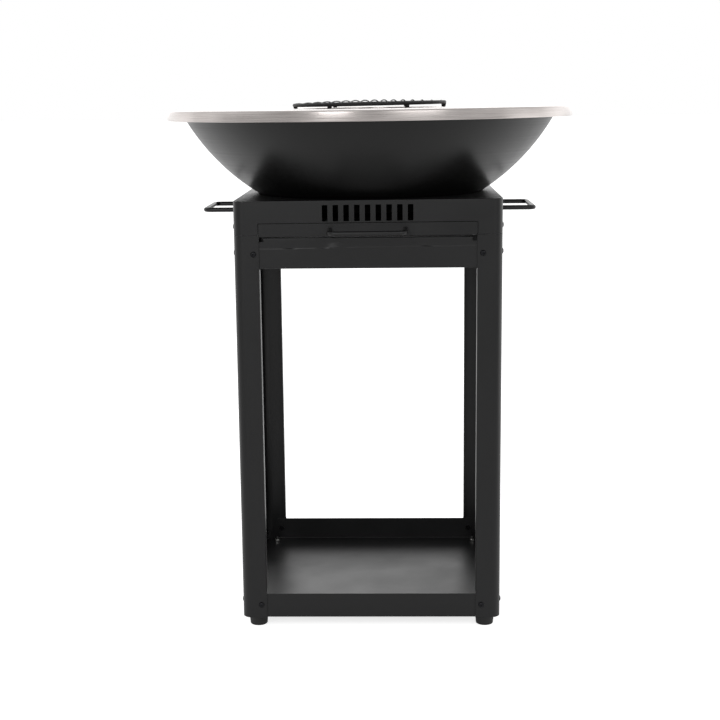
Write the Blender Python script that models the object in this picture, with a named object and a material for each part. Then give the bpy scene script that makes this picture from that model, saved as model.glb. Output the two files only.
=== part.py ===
"""Wood and charcoal grill: a square sheet-steel stand that carries a round fire bowl.

A steel hot plate lies on the bowl's rim, a wire grate stands round the plate's hole, and an ash drawer
slides out under the bowl. All sizes are in metres. The origin is on the floor at the middle of the stand,
+Z is up and -Y is the front, where the drawer is. Left and right are as seen from the front.
"""

import math

import bmesh
import bpy
from mathutils import Matrix, Vector

# Stand
STAND = 0.500            # outer width and depth
CORNER_R = 0.018         # outside bend of the legs and of the housing
GAP = 0.0003             # left between pieces that touch
FOOT_H = 0.021           # floor to the underside of the tray
LEG_T = 0.002            # leg and housing sheet
LEG_FLANGE = 0.0478      # width of each face of a leg
LEG_LIP = 0.018          # depth of the lip turned inward along the edge of a front or rear face
LIP_CLEAR_LOW = 0.004    # the lip starts this far above the tray's walls
LIP_CLEAR_HIGH = 0.003   # and ends this far below the aprons
LEG_SEAM = 0.0005        # open joint between a leg and the housing
PANEL_T = 0.0015         # tray, apron, runner and drawer sheet
PANEL_SETBACK = 0.0262   # aprons and tray walls end this far short of the corner
APRON_TOP_FOLD = 0.0135
APRON_LOW_FOLD = 0.0085
APRON_FOLD_HALF = 0.195  # the front apron's folds end here, each side of the middle
APRON_NOTCH = 0.006
PAST = 0.01              # how far a cutting block reaches past the face that it cuts

# Heights above the floor
TRAY_TOP = 0.069
APRON_BOTTOM = 0.7035
APRON_TOP = 0.7615
HOUSING_BOTTOM = 0.766
HOUSING_TOP = 0.830
TALL_APRON_TOP = 0.790
PLATE_TOP = 0.995

# Openings in the housing
DRAWER_SLOT_HALF = 0.2035
DRAWER_SLOT_TOP = 0.7890
VENT_COUNT = 9
VENT_PITCH = 0.0198
VENT_W = 0.010
VENT_BOTTOM = 0.7918
VENT_TOP = 0.8216
HOUSING_EDGE = 0.003     # rounding of the housing's top edge
SEAT_CLEAR = 0.0005      # between the bowl and the edge of its seat

# Fasteners
M6_R = 0.003
M6_HOLE_R = 0.0035
BOLT_IN = 0.213          # bolts, from the middle of the stand along a face
LOWER_BOLT_Z = 0.047
UPPER_BOLT_Z = 0.731
HOUSING_BOLT_Z = 0.780
HEAD_R = 0.0055
HEAD_H = 0.0032
HEAD_EDGE = 0.0008       # height of a bolt head's straight edge
HEAD_TOP_SHARE = 0.6     # width of the head's flat top against its full width
STUD_SPARE = 0.002       # thread that shows past a nut
NUT_CORNER_R = 0.00577
NUT_H = 0.005

# Feet
FOOT_IN = 0.2215         # foot centre from the middle of the stand, both ways
FOOT_TOP_R = 0.0185
FOOT_BASE_R = 0.0168
FOOT_EDGE = 0.0012       # bevel round the base
FOOT_COLLAR = 0.003      # height of the straight collar under the tray
FOOT_COLLAR_STEP = 0.0008
FOOT_STUD_L = 0.0125     # stud above the tray's underside

# Fire bowl, hot plate and grates
BOWL_R = 0.421           # outside radius of the dished wall
BOWL_CENTRE_Z = 1.1875
BOWL_T = 0.002
BOWL_FLANGE_R = 0.394
BOWL_FLOOR_Z = 0.798     # underside of the flat lip round the ash outlet
BOWL_SIDES = 64
ASH_OUTLET_R = 0.130
PLATE_R = 0.400
PLATE_T = 0.003
PLATE_RIM = 0.0196       # height of the turned-down edge
PLATE_BEND = 0.004
PLATE_HOLE_R = 0.138
PLATE_SIDES = 80
COAL_GRATE_R = 0.150
COAL_GRATE_T = 0.006
COAL_SLOT_W = 0.014
COAL_SLOT_PITCH = 0.028
COAL_BORDER = 0.022      # solid border round the slots, most of it over the bowl's lip
GRATE_RING_R = 0.151     # centreline of the wire ring
GRATE_WIRE_R = 0.0035
GRATE_ROD_R = 0.003
GRATE_ROD_PITCH = 0.019
GRATE_RODS = 16
GRATE_ROD_END = 0.0015   # a rod ends this far past the ring's centreline
GRATE_LIFT = 0.007       # ring centreline above the hot plate
WELD = 0.001             # how far a welded rod sinks into the ring
PEG_R = 0.0033
PEG_RING_R = 0.1485

# Ash drawer
DRAWER_HALF = 0.199
DRAWER_FRONT_HALF = 0.2028
DRAWER_LOW_HALF = 0.2012  # the face panel is narrower where it passes between the legs
DRAWER_STEP = 0.0010     # the panel widens this far above the legs' tops
DRAWER_BOTTOM = 0.7636
DRAWER_TOP = 0.7882
DRAWER_BACK = 0.2415
PAN_DROP = 0.002         # the pan's edge lies this far below the face panel's
SHELF_INNER = 0.186
GUIDE_X = 0.2005
RUNNER_STEP = 0.0097     # from the runner's shelf up to its ledge

# Handles
ROD_R = 0.004
HANDLE_REACH = 0.0765    # from the face to the outside of the grip
HANDLE_BEND = 0.012
SIDE_HANDLE_HALF = 0.080
SIDE_HANDLE_Z = 0.801
DRAWER_HANDLE_HALF = 0.070

HALF = STAND / 2
INNER = HALF - LEG_T - GAP          # outside face of what lies behind the legs
PANEL_END = INNER - PANEL_SETBACK   # ends of the aprons and of the tray walls
BOWL_CONTACT_R = math.sqrt(BOWL_R**2 - (BOWL_CENTRE_Z - HOUSING_TOP) ** 2)


def clear_scene():
    for old in list(bpy.data.objects):
        bpy.data.objects.remove(old, do_unlink=True)


def make_material(name, colour, roughness, metallic):
    mat = bpy.data.materials.new(name)
    mat.use_nodes = True
    shader = mat.node_tree.nodes["Principled BSDF"]
    shader.inputs["Base Color"].default_value = (*colour, 1.0)
    shader.inputs["Roughness"].default_value = roughness
    shader.inputs["Metallic"].default_value = metallic
    return mat


def add_object(name, bm, mat, smooth=False):
    """Turn a bmesh into a named object of one material."""
    bmesh.ops.recalc_face_normals(bm, faces=bm.faces)
    mesh = bpy.data.meshes.new(name)
    bm.to_mesh(mesh)
    bm.free()
    if mat:
        mesh.materials.append(mat)
    if smooth:
        mesh.shade_smooth()
        mesh.set_sharp_from_angle(angle=math.radians(35))
    obj = bpy.data.objects.new(name, mesh)
    bpy.context.scene.collection.objects.link(obj)
    return obj


def combine(target, tools, operation):
    """Cut the tools from the target, or weld them to it, and remove them."""
    for tool in tools:
        tool.hide_render = True
        tool.display_type = "WIRE"
        step = target.modifiers.new(tool.name, "BOOLEAN")
        step.object = tool
        step.operation = operation
        step.solver = "EXACT"
    result = target.evaluated_get(bpy.context.evaluated_depsgraph_get())
    mesh = bpy.data.meshes.new_from_object(result)
    mesh.name = target.name
    target.modifiers.clear()
    target.data = mesh
    for tool in tools:
        bpy.data.objects.remove(tool, do_unlink=True)
    return target


def prism(outline, levels, axis="Z"):
    """A closed outline carried through two or more levels, with a flat face at each end."""
    orders = {"X": lambda u, v, w: (w, u, v), "Y": lambda u, v, w: (u, w, v), "Z": lambda u, v, w: (u, v, w)}
    place = orders[axis]
    bm = bmesh.new()
    rings = [[bm.verts.new(place(u, v, w)) for u, v in outline] for w in levels]
    count = len(outline)
    for low, high in zip(rings, rings[1:]):
        for i in range(count):
            j = (i + 1) % count
            bm.faces.new((low[i], low[j], high[j], high[i]))
    bm.faces.new(rings[0][::-1])
    bm.faces.new(rings[-1])
    return bm


def block(low, high):
    outline = [(low[0], low[1]), (high[0], low[1]), (high[0], high[1]), (low[0], high[1])]
    return prism(outline, (low[2], high[2]))


def block_tool(low, high):
    return add_object("tool", block(low, high), None)


def arc(centre, radius, start, end, steps):
    """Points on an arc, angles in degrees."""
    angles = [math.radians(start + (end - start) * i / steps) for i in range(steps + 1)]
    return [(centre[0] + radius * math.cos(a), centre[1] + radius * math.sin(a)) for a in angles]


def rounded_square(half, radius, steps=5):
    points = []
    for sx, sy, start in ((1, 1, 0), (-1, 1, 90), (-1, -1, 180), (1, -1, 270)):
        centre = (sx * (half - radius), sy * (half - radius))
        points += arc(centre, radius, start, start + 90, steps)
    return points


def lathe(profile, sides, closed=True):
    """Turn (radius, height) points about Z. A closed profile is a ring, an open one starts and ends flat."""
    bm = bmesh.new()
    rings = []
    for radius, height in profile:
        angles = [2 * math.pi * i / sides for i in range(sides)]
        rings.append([bm.verts.new((radius * math.cos(a), radius * math.sin(a), height)) for a in angles])
    pairs = list(zip(rings, rings[1:]))
    if closed:
        pairs.append((rings[-1], rings[0]))
    else:
        bm.faces.new(rings[0][::-1])
        bm.faces.new(rings[-1])
    for low, high in pairs:
        for i in range(sides):
            j = (i + 1) % sides
            bm.faces.new((low[i], low[j], high[j], high[i]))
    return bm


def turn_to(bm, direction, position):
    """Lay a piece made along +Z along another direction, at a place."""
    turn = Vector((0, 0, 1)).rotation_difference(Vector(direction)).to_matrix().to_4x4()
    bmesh.ops.transform(bm, matrix=Matrix.Translation(position) @ turn, verts=bm.verts)
    return bm


def hole_tool(position, direction, radius=M6_HOLE_R, depth=0.012, sides=8):
    bm = lathe([(radius, -depth), (radius, depth)], sides, closed=False)
    return add_object("tool", turn_to(bm, direction, position), None)


def rod(points, radii, sides=12):
    """A round bar through the points, with its own radius at each."""
    bm = bmesh.new()
    points = [Vector(p) for p in points]
    rings = []
    across = None
    for i, point in enumerate(points):
        before = points[max(i - 1, 0)]
        after = points[min(i + 1, len(points) - 1)]
        along = (after - before).normalized()
        if across is None:
            across = along.orthogonal().normalized()
        across = (across - along * across.dot(along)).normalized()
        other = along.cross(across)
        ring = []
        for k in range(sides):
            angle = 2 * math.pi * k / sides
            ring.append(bm.verts.new(point + radii[i] * (math.cos(angle) * across + math.sin(angle) * other)))
        rings.append(ring)
    for low, high in zip(rings, rings[1:]):
        for k in range(sides):
            n = (k + 1) % sides
            bm.faces.new((low[k], low[n], high[n], high[k]))
    bm.faces.new(rings[0][::-1])
    bm.faces.new(rings[-1])
    return bm


def fold_out(bm, inside, shift):
    """Push the faces whose middle passes the test out by a vector, as a folded edge."""
    faces = [f for f in bm.faces if inside(f.calc_center_median(), f.normal)]
    grown = bmesh.ops.extrude_face_region(bm, geom=faces)
    bmesh.ops.delete(bm, geom=faces, context="FACES_ONLY")
    moved = [v for v in grown["geom"] if isinstance(v, bmesh.types.BMVert)]
    bmesh.ops.translate(bm, verts=moved, vec=shift)


# Stand

CORNERS = (("front_left", -1, -1), ("front_right", 1, -1), ("rear_right", 1, 1), ("rear_left", -1, 1))


def leg_outline():
    """Section of the front left leg: two faces that meet in a round bend."""
    edge = -HALF + LEG_FLANGE
    centre = (-HALF + CORNER_R, -HALF + CORNER_R)
    outer = [(edge, -HALF), (edge - LEG_T, -HALF)] + arc(centre, CORNER_R, 270, 180, 6)
    outer += [(-HALF, edge - LEG_T), (-HALF, edge)]
    inner = [(-HALF + LEG_T, edge), (-HALF + LEG_T, edge - LEG_T)]
    inner += arc(centre, CORNER_R - LEG_T, 180, 270, 6)
    inner += [(edge - LEG_T, -HALF + LEG_T), (edge, -HALF + LEG_T)]
    return outer + inner


def make_legs(mat):
    """Folded corner legs in two mirrored kinds. The front or rear face of each has a lip along its edge.

    The lip stops short of the tray and of the aprons, which lie behind the faces.
    """
    lip_low = TRAY_TOP + LIP_CLEAR_LOW
    lip_high = APRON_BOTTOM - LIP_CLEAR_HIGH
    top = HOUSING_BOTTOM - LEG_SEAM
    edge = -HALF + LEG_FLANGE

    def on_lip(middle, normal):
        return lip_low < middle.z < lip_high and edge - LEG_T < middle.x < edge and normal.y > 0.9

    for name, sx, sy in CORNERS:
        bm = prism(leg_outline(), (FOOT_H, lip_low, lip_high, top))
        bmesh.ops.recalc_face_normals(bm, faces=bm.faces)
        fold_out(bm, on_lip, (0, LEG_LIP, 0))
        leg = add_object("leg_" + name, bm, mat, smooth=True)
        tools = []
        for height in (LOWER_BOLT_Z, UPPER_BOLT_Z):
            tools.append(hole_tool((-BOLT_IN, -HALF, height), (0, 1, 0)))
            tools.append(hole_tool((-HALF, -BOLT_IN, height), (1, 0, 0)))
        combine(leg, tools, "DIFFERENCE")
        leg.data.transform(Matrix.Diagonal((-sx, -sy, 1, 1)))
        if sx * sy < 0:
            leg.data.flip_normals()


def make_feet(foot_mat, nut_mat):
    """Moulded feet with a stud up through the tray floor, and the nut that holds each one."""
    top = FOOT_H - GAP
    collar = top - FOOT_COLLAR
    profile = [(FOOT_BASE_R - FOOT_EDGE, 0), (FOOT_BASE_R, FOOT_EDGE)]
    profile += [(FOOT_TOP_R - FOOT_COLLAR_STEP, collar - FOOT_COLLAR_STEP), (FOOT_TOP_R, collar)]
    profile += [(FOOT_TOP_R, top), (M6_R, top), (M6_R, FOOT_H + FOOT_STUD_L)]
    for name, sx, sy in CORNERS:
        place = Vector((sx * FOOT_IN, sy * FOOT_IN, 0))
        foot = turn_to(lathe(profile, 16, closed=False), (0, 0, 1), place)
        add_object("foot_" + name, foot, foot_mat, smooth=True)
        floor = Vector((0, 0, FOOT_H + PANEL_T + GAP))
        add_object("foot_nut_" + name, turn_to(nut(), (0, 0, 1), place + floor), nut_mat)


def nut():
    """Hexagon nut that stands on its face, with its hole."""
    bm = bmesh.new()
    rings = []
    for radius_at, height in ((hex_radius, 0), (hex_radius, NUT_H), (bore_radius, NUT_H), (bore_radius, 0)):
        rings.append([bm.verts.new(around(radius_at(i), i, height)) for i in range(12)])
    for low, high in zip(rings, rings[1:] + rings[:1]):
        for i in range(12):
            j = (i + 1) % 12
            bm.faces.new((low[i], low[j], high[j], high[i]))
    return bm


def around(radius, step, height):
    angle = 2 * math.pi * step / 12
    return (radius * math.cos(angle), radius * math.sin(angle), height)


def hex_radius(step):
    """Corners of the hexagon at even steps, middles of its flats at odd ones."""
    return NUT_CORNER_R if step % 2 == 0 else NUT_CORNER_R * math.cos(math.pi / 6)


def bore_radius(step):
    return M6_R + GAP


def bolt(grip):
    """Round-headed bolt along +Z, head outward, with its nut at the far side of what it grips."""
    levels = [(lambda i: HEAD_TOP_SHARE * HEAD_R, HEAD_H), (lambda i: HEAD_R, GAP + HEAD_EDGE)]
    levels += [(lambda i: M6_R, GAP), (lambda i: M6_R, -grip - GAP)]
    levels += [(hex_radius, -grip - GAP), (hex_radius, -grip - GAP - NUT_H)]
    bm = bmesh.new()
    rings = []
    for radius_at, height in levels:
        rings.append([bm.verts.new(around(radius_at(i), i, height)) for i in range(12)])
    for low, high in zip(rings, rings[1:]):
        for i in range(12):
            j = (i + 1) % 12
            bm.faces.new((low[i], low[j], high[j], high[i]))
    bm.faces.new(rings[0])
    bm.faces.new(rings[-1][::-1])
    return bm


def make_bolts(mat):
    """Bolts through the legs, and those that hold the housing and the drawer runners to the tall aprons."""
    grip = LEG_T + GAP + PANEL_T
    for name, sx, sy in CORNERS:
        for level, height in (("lower", LOWER_BOLT_Z), ("upper", UPPER_BOLT_Z)):
            face = turn_to(bolt(grip), (0, sy, 0), (sx * BOLT_IN, sy * HALF, height))
            add_object(f"{level}_bolt_{name}_face", face, mat, smooth=True)
            side = turn_to(bolt(grip), (sx, 0, 0), (sx * HALF, sy * BOLT_IN, height))
            add_object(f"{level}_bolt_{name}_side", side, mat, smooth=True)
        place = (sx * HALF, sy * BOLT_IN, HOUSING_BOLT_Z)
        with_runner = turn_to(bolt(grip + GAP + PANEL_T), (sx, 0, 0), place)
        add_object(f"housing_bolt_{name}_side", with_runner, mat, smooth=True)
    for name, sx in (("left", -1), ("right", 1)):
        rear = turn_to(bolt(grip), (0, 1, 0), (sx * BOLT_IN, HALF, HOUSING_BOLT_Z))
        add_object(f"housing_bolt_rear_{name}", rear, mat, smooth=True)


def make_tray(mat):
    """Storage tray: a flat floor with four upturned walls that end short of the round corners."""
    radius = CORNER_R - LEG_T - GAP
    tray = add_object("storage_tray", prism(rounded_square(INNER, radius), (FOOT_H, TRAY_TOP)), mat)
    floor = FOOT_H + PANEL_T
    tools = [block_tool((-INNER + PANEL_T,) * 2 + (floor,), (INNER - PANEL_T,) * 2 + (TRAY_TOP + PAST,))]
    for name, sx, sy in CORNERS:
        xs = sorted((sx * PANEL_END, sx * HALF))
        ys = sorted((sy * PANEL_END, sy * HALF))
        tools.append(block_tool((xs[0], ys[0], floor), (xs[1], ys[1], TRAY_TOP + PAST)))
        tools.append(hole_tool((sx * BOLT_IN, sy * INNER, LOWER_BOLT_Z), (0, 1, 0)))
        tools.append(hole_tool((sx * INNER, sy * BOLT_IN, LOWER_BOLT_Z), (1, 0, 0)))
        tools.append(hole_tool((sx * FOOT_IN, sy * FOOT_IN, FOOT_H), (0, 0, 1)))
    combine(tray, tools, "DIFFERENCE")


def make_front_apron(mat):
    """Low apron under the drawer, folded in along both edges, with a notch at each end of the top fold."""
    back = -INNER + PANEL_T
    outline = [(-INNER, APRON_BOTTOM), (back, APRON_BOTTOM), (back, APRON_BOTTOM + PANEL_T)]
    outline += [(back, APRON_TOP - PANEL_T), (back, APRON_TOP), (-INNER, APRON_TOP)]
    bm = prism(outline, (-PANEL_END, -APRON_FOLD_HALF, APRON_FOLD_HALF, PANEL_END), axis="X")
    bmesh.ops.recalc_face_normals(bm, faces=bm.faces)

    def on_fold(middle, normal, low, high):
        return abs(middle.x) < APRON_FOLD_HALF and normal.y > 0.9 and low < middle.z < high

    fold_out(bm, lambda m, n: on_fold(m, n, APRON_TOP - PANEL_T, APRON_TOP), (0, APRON_TOP_FOLD, 0))
    fold_out(bm, lambda m, n: on_fold(m, n, APRON_BOTTOM, APRON_BOTTOM + PANEL_T), (0, APRON_LOW_FOLD, 0))
    apron = add_object("apron_front", bm, mat)
    tools = []
    for sx in (-1, 1):
        xs = sorted((sx * APRON_FOLD_HALF, sx * DRAWER_SLOT_HALF))
        low = (xs[0], -HALF, APRON_TOP - APRON_NOTCH)
        tools.append(block_tool(low, (xs[1], -INNER + APRON_NOTCH, APRON_TOP + PAST)))
        tools.append(hole_tool((sx * BOLT_IN, -INNER, UPPER_BOLT_Z), (0, 1, 0)))
    combine(apron, tools, "DIFFERENCE")


def make_tall_apron(name, quarter_turns, mat):
    """Side or rear apron, tall enough to reach up behind the housing, which is bolted to it."""
    outline = [(INNER, APRON_BOTTOM), (INNER, TALL_APRON_TOP), (INNER - PANEL_T, TALL_APRON_TOP)]
    fold_edge = INNER - PANEL_T - APRON_LOW_FOLD
    outline += [(INNER - PANEL_T, APRON_BOTTOM + PANEL_T), (fold_edge, APRON_BOTTOM + PANEL_T)]
    outline += [(fold_edge, APRON_BOTTOM)]
    apron = add_object(name, prism(outline, (-PANEL_END, PANEL_END), axis="Y"), mat)
    tools = []
    for sy in (-1, 1):
        for height in (UPPER_BOLT_Z, HOUSING_BOLT_Z):
            tools.append(hole_tool((INNER, sy * BOLT_IN, height), (1, 0, 0)))
    combine(apron, tools, "DIFFERENCE")
    apron.data.transform(Matrix.Rotation(quarter_turns * math.pi / 2, 4, "Z"))


def make_housing(mat):
    """Open-bottomed box with the round seat of the bowl, the drawer's opening and a row of vents in front."""
    bm = prism(rounded_square(HALF, CORNER_R), (HOUSING_BOTTOM, HOUSING_TOP))
    top_edges = [e for e in bm.edges if all(v.co.z > HOUSING_TOP - GAP for v in e.verts)]
    bmesh.ops.bevel(bm, geom=top_edges, offset=HOUSING_EDGE, segments=2, profile=0.5, affect="EDGES")
    housing = add_object("housing", bm, mat, smooth=True)
    levels = (HOUSING_BOTTOM - PAST, HOUSING_TOP - LEG_T)
    tools = [add_object("tool", prism(rounded_square(HALF - LEG_T, CORNER_R - LEG_T), levels), None)]
    tools.append(hole_tool((0, 0, HOUSING_TOP), (0, 0, 1), BOWL_CONTACT_R + SEAT_CLEAR, sides=BOWL_SIDES))
    slot_low = (-DRAWER_SLOT_HALF, -HALF - PAST, HOUSING_BOTTOM - PAST)
    tools.append(block_tool(slot_low, (DRAWER_SLOT_HALF, -HALF + PAST, DRAWER_SLOT_TOP)))
    for i in range(VENT_COUNT):
        x = (i - (VENT_COUNT - 1) / 2) * VENT_PITCH
        low = (x - VENT_W / 2, -HALF - PAST, VENT_BOTTOM)
        tools.append(block_tool(low, (x + VENT_W / 2, -HALF + PAST, VENT_TOP)))
    for sx in (-1, 1):
        for sy in (-1, 1):
            tools.append(hole_tool((sx * HALF, sy * BOLT_IN, HOUSING_BOLT_Z), (1, 0, 0)))
            tools.append(hole_tool((sx * HALF, sy * SIDE_HANDLE_HALF, SIDE_HANDLE_Z), (1, 0, 0)))
        tools.append(hole_tool((sx * BOLT_IN, HALF, HOUSING_BOLT_Z), (0, 1, 0)))
    combine(housing, tools, "DIFFERENCE")


def make_runner(name, sx, mat):
    """Stepped rail bolted inside a side apron: shelf under the drawer, guide beside it, flange outside."""
    shelf = APRON_TOP + GAP
    ledge = shelf + RUNNER_STEP
    outer = INNER - PANEL_T - GAP
    t = PANEL_T
    outline = [(SHELF_INNER, shelf), (GUIDE_X + t, shelf), (GUIDE_X + t, ledge - t), (outer, ledge - t)]
    outline += [(outer, TALL_APRON_TOP), (outer - t, TALL_APRON_TOP), (outer - t, ledge), (GUIDE_X, ledge)]
    outline += [(GUIDE_X, shelf + t), (SHELF_INNER, shelf + t)]
    rail = prism([(sx * u, v) for u, v in outline], (-PANEL_END, PANEL_END), axis="Y")
    runner = add_object(name, rail, mat)
    tools = [hole_tool((sx * outer, sy * BOLT_IN, HOUSING_BOLT_Z), (1, 0, 0)) for sy in (-1, 1)]
    combine(runner, tools, "DIFFERENCE")


# Handles

def handle_bar(half, along, outward, root, studs=()):
    """Bent round bar whose two ends stand on a face. Studs are (height, radius) steps below each end."""
    along, outward, root = Vector(along), Vector(outward), Vector(root)
    reach = HANDLE_REACH - ROD_R
    flat = [(-half, height, radius) for height, radius in studs] + [(-half, GAP, ROD_R)]
    for side, start, end in ((-1, 180, 90), (1, 90, 0)):
        centre = (side * (half - HANDLE_BEND), reach - HANDLE_BEND)
        flat += [(x, y, ROD_R) for x, y in arc(centre, HANDLE_BEND, start, end, 4)]
    flat += [(half, GAP, ROD_R)] + [(half, height, radius) for height, radius in reversed(studs)]
    points = [root + u * along + v * outward for u, v, _ in flat]
    return stepped_bar(points, [r for _, _, r in flat])


def stepped_bar(points, radii):
    """A bar whose radius may change on the spot: repeated points take the direction of their own stretch."""
    nudged = [Vector(p) for p in points]
    for i in range(1, len(nudged)):
        if (nudged[i] - nudged[i - 1]).length < 1e-7:
            ahead = nudged[i + 1] - nudged[i] if radii[i] > radii[i - 1] else nudged[i - 2] - nudged[i - 1]
            wide = i if radii[i] > radii[i - 1] else i - 1
            nudged[wide] = nudged[wide] + ahead.normalized() * 1e-6
    return rod(nudged, radii)


def make_side_handles(mat, nut_mat):
    """Bent bars with a threaded stud through the housing's wall at each end, and the nuts inside."""
    studs = ((-LEG_T - GAP - NUT_H - STUD_SPARE, M6_R), (GAP, M6_R))
    for name, sx in (("left", -1), ("right", 1)):
        root = (sx * HALF, 0, SIDE_HANDLE_Z)
        bar = handle_bar(SIDE_HANDLE_HALF, (0, 1, 0), (sx, 0, 0), root, studs)
        add_object("side_handle_" + name, bar, mat, smooth=True)
        for end, sy in (("front", -1), ("rear", 1)):
            place = (sx * (HALF - LEG_T - GAP), sy * SIDE_HANDLE_HALF, SIDE_HANDLE_Z)
            add_object(f"handle_nut_{name}_{end}", turn_to(nut(), (-sx, 0, 0), place), nut_mat)


# Ash drawer

def make_drawer(paint):
    """Pan, with a face panel welded on it and a bar handle welded on the panel."""
    face_back = -HALF + PANEL_T
    pan_front = face_back + GAP
    low = Vector((-DRAWER_HALF, pan_front, DRAWER_BOTTOM))
    high = Vector((DRAWER_HALF, DRAWER_BACK, DRAWER_TOP - PAN_DROP))
    wall = Vector((PANEL_T, PANEL_T, PANEL_T))
    pan = add_object("ash_drawer_pan", block(low, high), paint)
    inside = block_tool(low + wall, high - wall + Vector((0, 0, PAST)))
    combine(pan, [inside], "DIFFERENCE")

    low, step = DRAWER_BOTTOM + GAP, HOUSING_BOTTOM - LEG_SEAM + DRAWER_STEP
    right = [(DRAWER_LOW_HALF, low), (DRAWER_LOW_HALF, step), (DRAWER_FRONT_HALF, step)]
    right.append((DRAWER_FRONT_HALF, DRAWER_TOP))
    face = right + [(-x, z) for x, z in reversed(right)]
    add_object("drawer_front", prism(face, (-HALF, face_back), axis="Y"), paint)

    root = (0, -HALF, (DRAWER_BOTTOM + DRAWER_TOP) / 2)
    bar = handle_bar(DRAWER_HANDLE_HALF, (1, 0, 0), (0, -1, 0), root)
    add_object("drawer_handle", bar, paint, smooth=True)


# Fire bowl, hot plate and grates

def bowl_arc(radius, low_z, high_z, steps):
    """(radius, height) points on a sphere about the bowl's centre, from low to high."""
    start = math.acos((BOWL_CENTRE_Z - low_z) / radius)
    end = math.acos((BOWL_CENTRE_Z - high_z) / radius)
    angles = [start + (end - start) * i / steps for i in range(steps + 1)]
    return [(radius * math.sin(a), BOWL_CENTRE_Z - radius * math.cos(a)) for a in angles]


def make_bowl(mat):
    """Dished steel bowl, with a flange that carries the hot plate and a lip round the ash outlet."""
    rim = PLATE_TOP - PLATE_T - GAP
    outside = bowl_arc(BOWL_R, BOWL_FLOOR_Z, rim - BOWL_T, 7)
    inside = bowl_arc(BOWL_R - BOWL_T, BOWL_FLOOR_Z + BOWL_T, rim, 7)
    profile = [(ASH_OUTLET_R, BOWL_FLOOR_Z)] + outside + [(BOWL_FLANGE_R, rim - BOWL_T), (BOWL_FLANGE_R, rim)]
    profile += inside[::-1] + [(ASH_OUTLET_R, BOWL_FLOOR_Z + BOWL_T)]
    add_object("fire_bowl", lathe(profile, BOWL_SIDES), mat, smooth=True)


def make_coal_grate(mat):
    """Cast disc with long slots, which lies on the bowl's lip over the ash outlet."""
    bottom = BOWL_FLOOR_Z + BOWL_T + GAP
    top = bottom + COAL_GRATE_T
    disc = lathe([(COAL_GRATE_R, bottom), (COAL_GRATE_R, top)], 48, closed=False)
    grate = add_object("coal_grate", disc, mat, smooth=True)
    reach = COAL_GRATE_R - COAL_BORDER
    count = int((reach - COAL_SLOT_W) / COAL_SLOT_PITCH)
    tools = []
    for i in range(-count, count + 1):
        x = i * COAL_SLOT_PITCH
        half = math.sqrt(reach**2 - (abs(x) + COAL_SLOT_W / 2) ** 2)
        low = (x - COAL_SLOT_W / 2, -half, bottom - PAST)
        tools.append(block_tool(low, (x + COAL_SLOT_W / 2, half, top + PAST)))
    combine(grate, tools, "DIFFERENCE")


def make_plate(mat):
    """Round hot plate with a central hole and a turned-down edge."""
    low = PLATE_TOP - PLATE_RIM
    under = PLATE_TOP - PLATE_T
    bend = arc((PLATE_R - PLATE_BEND, PLATE_TOP - PLATE_BEND), PLATE_BEND, 90, 0, 2)
    profile = [(PLATE_HOLE_R, under), (PLATE_HOLE_R, PLATE_TOP)] + bend
    profile += [(PLATE_R, low), (PLATE_R - PLATE_T, low), (PLATE_R - PLATE_T, under)]
    add_object("plancha_plate", lathe(profile, PLATE_SIDES), mat, smooth=True)


def make_cooking_grate(mat):
    """Wire ring with parallel rods across it and six short pegs under it, all welded together."""
    height = PLATE_TOP + GRATE_LIFT
    wire = [(GRATE_RING_R + x, height + z) for x, z in arc((0, 0), GRATE_WIRE_R, 0, 315, 7)]
    grate = add_object("cooking_grate", lathe(wire, 60), mat, smooth=True)
    tools = []
    rod_z = height + GRATE_WIRE_R + GRATE_ROD_R - WELD
    for i in range(GRATE_RODS):
        x = (i - (GRATE_RODS - 1) / 2) * GRATE_ROD_PITCH
        half = math.sqrt(GRATE_RING_R**2 - x**2) + GRATE_ROD_END
        bar = rod([(x, -half, rod_z), (x, half, rod_z)], [GRATE_ROD_R] * 2, sides=6)
        tools.append(add_object("tool", bar, None))
    for i in range(6):
        angle = i * math.pi / 3
        x, y = PEG_RING_R * math.cos(angle), PEG_RING_R * math.sin(angle)
        peg = rod([(x, y, PLATE_TOP + GAP), (x, y, height)], [PEG_R] * 2, sides=8)
        tools.append(add_object("tool", peg, None))
    combine(grate, tools, "UNION")


def build():
    clear_scene()
    paint = make_material("black_powder_coat", (0.028, 0.028, 0.030), 0.42, 0.0)
    bowl_paint = make_material("satin_black_bowl", (0.022, 0.022, 0.023), 0.32, 0.0)
    steel = make_material("brushed_steel", (0.56, 0.54, 0.51), 0.34, 1.0)
    wire = make_material("enamelled_wire", (0.018, 0.018, 0.018), 0.20, 0.0)
    cast = make_material("cast_iron", (0.05, 0.05, 0.05), 0.7, 0.6)
    plastic = make_material("black_plastic", (0.018, 0.018, 0.018), 0.5, 0.0)
    zinc = make_material("dark_zinc", (0.09, 0.09, 0.10), 0.38, 1.0)

    make_legs(paint)
    make_feet(plastic, zinc)
    make_tray(paint)
    make_front_apron(paint)
    make_tall_apron("apron_right", 0, paint)
    make_tall_apron("apron_rear", 1, paint)
    make_tall_apron("apron_left", 2, paint)
    make_housing(paint)
    make_runner("drawer_runner_left", -1, paint)
    make_runner("drawer_runner_right", 1, paint)
    make_bolts(zinc)
    make_side_handles(paint, zinc)
    make_drawer(paint)
    make_bowl(bowl_paint)
    make_coal_grate(cast)
    make_plate(steel)
    make_cooking_grate(wire)


build()
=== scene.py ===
# %% [markdown]
# Wood and charcoal grill, dressed for the camera.
# The real grill is a stand folded from sheet steel, with a dished fire bowl in its top and a thick round hot
# plate on the bowl. The solids that hold the sizes come from the part's own source. This script makes a finer
# skin for every one of them, with real bends, rounded edges and finishes.

import math

import bmesh
import bpy
from mathutils import Matrix, Vector


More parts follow.
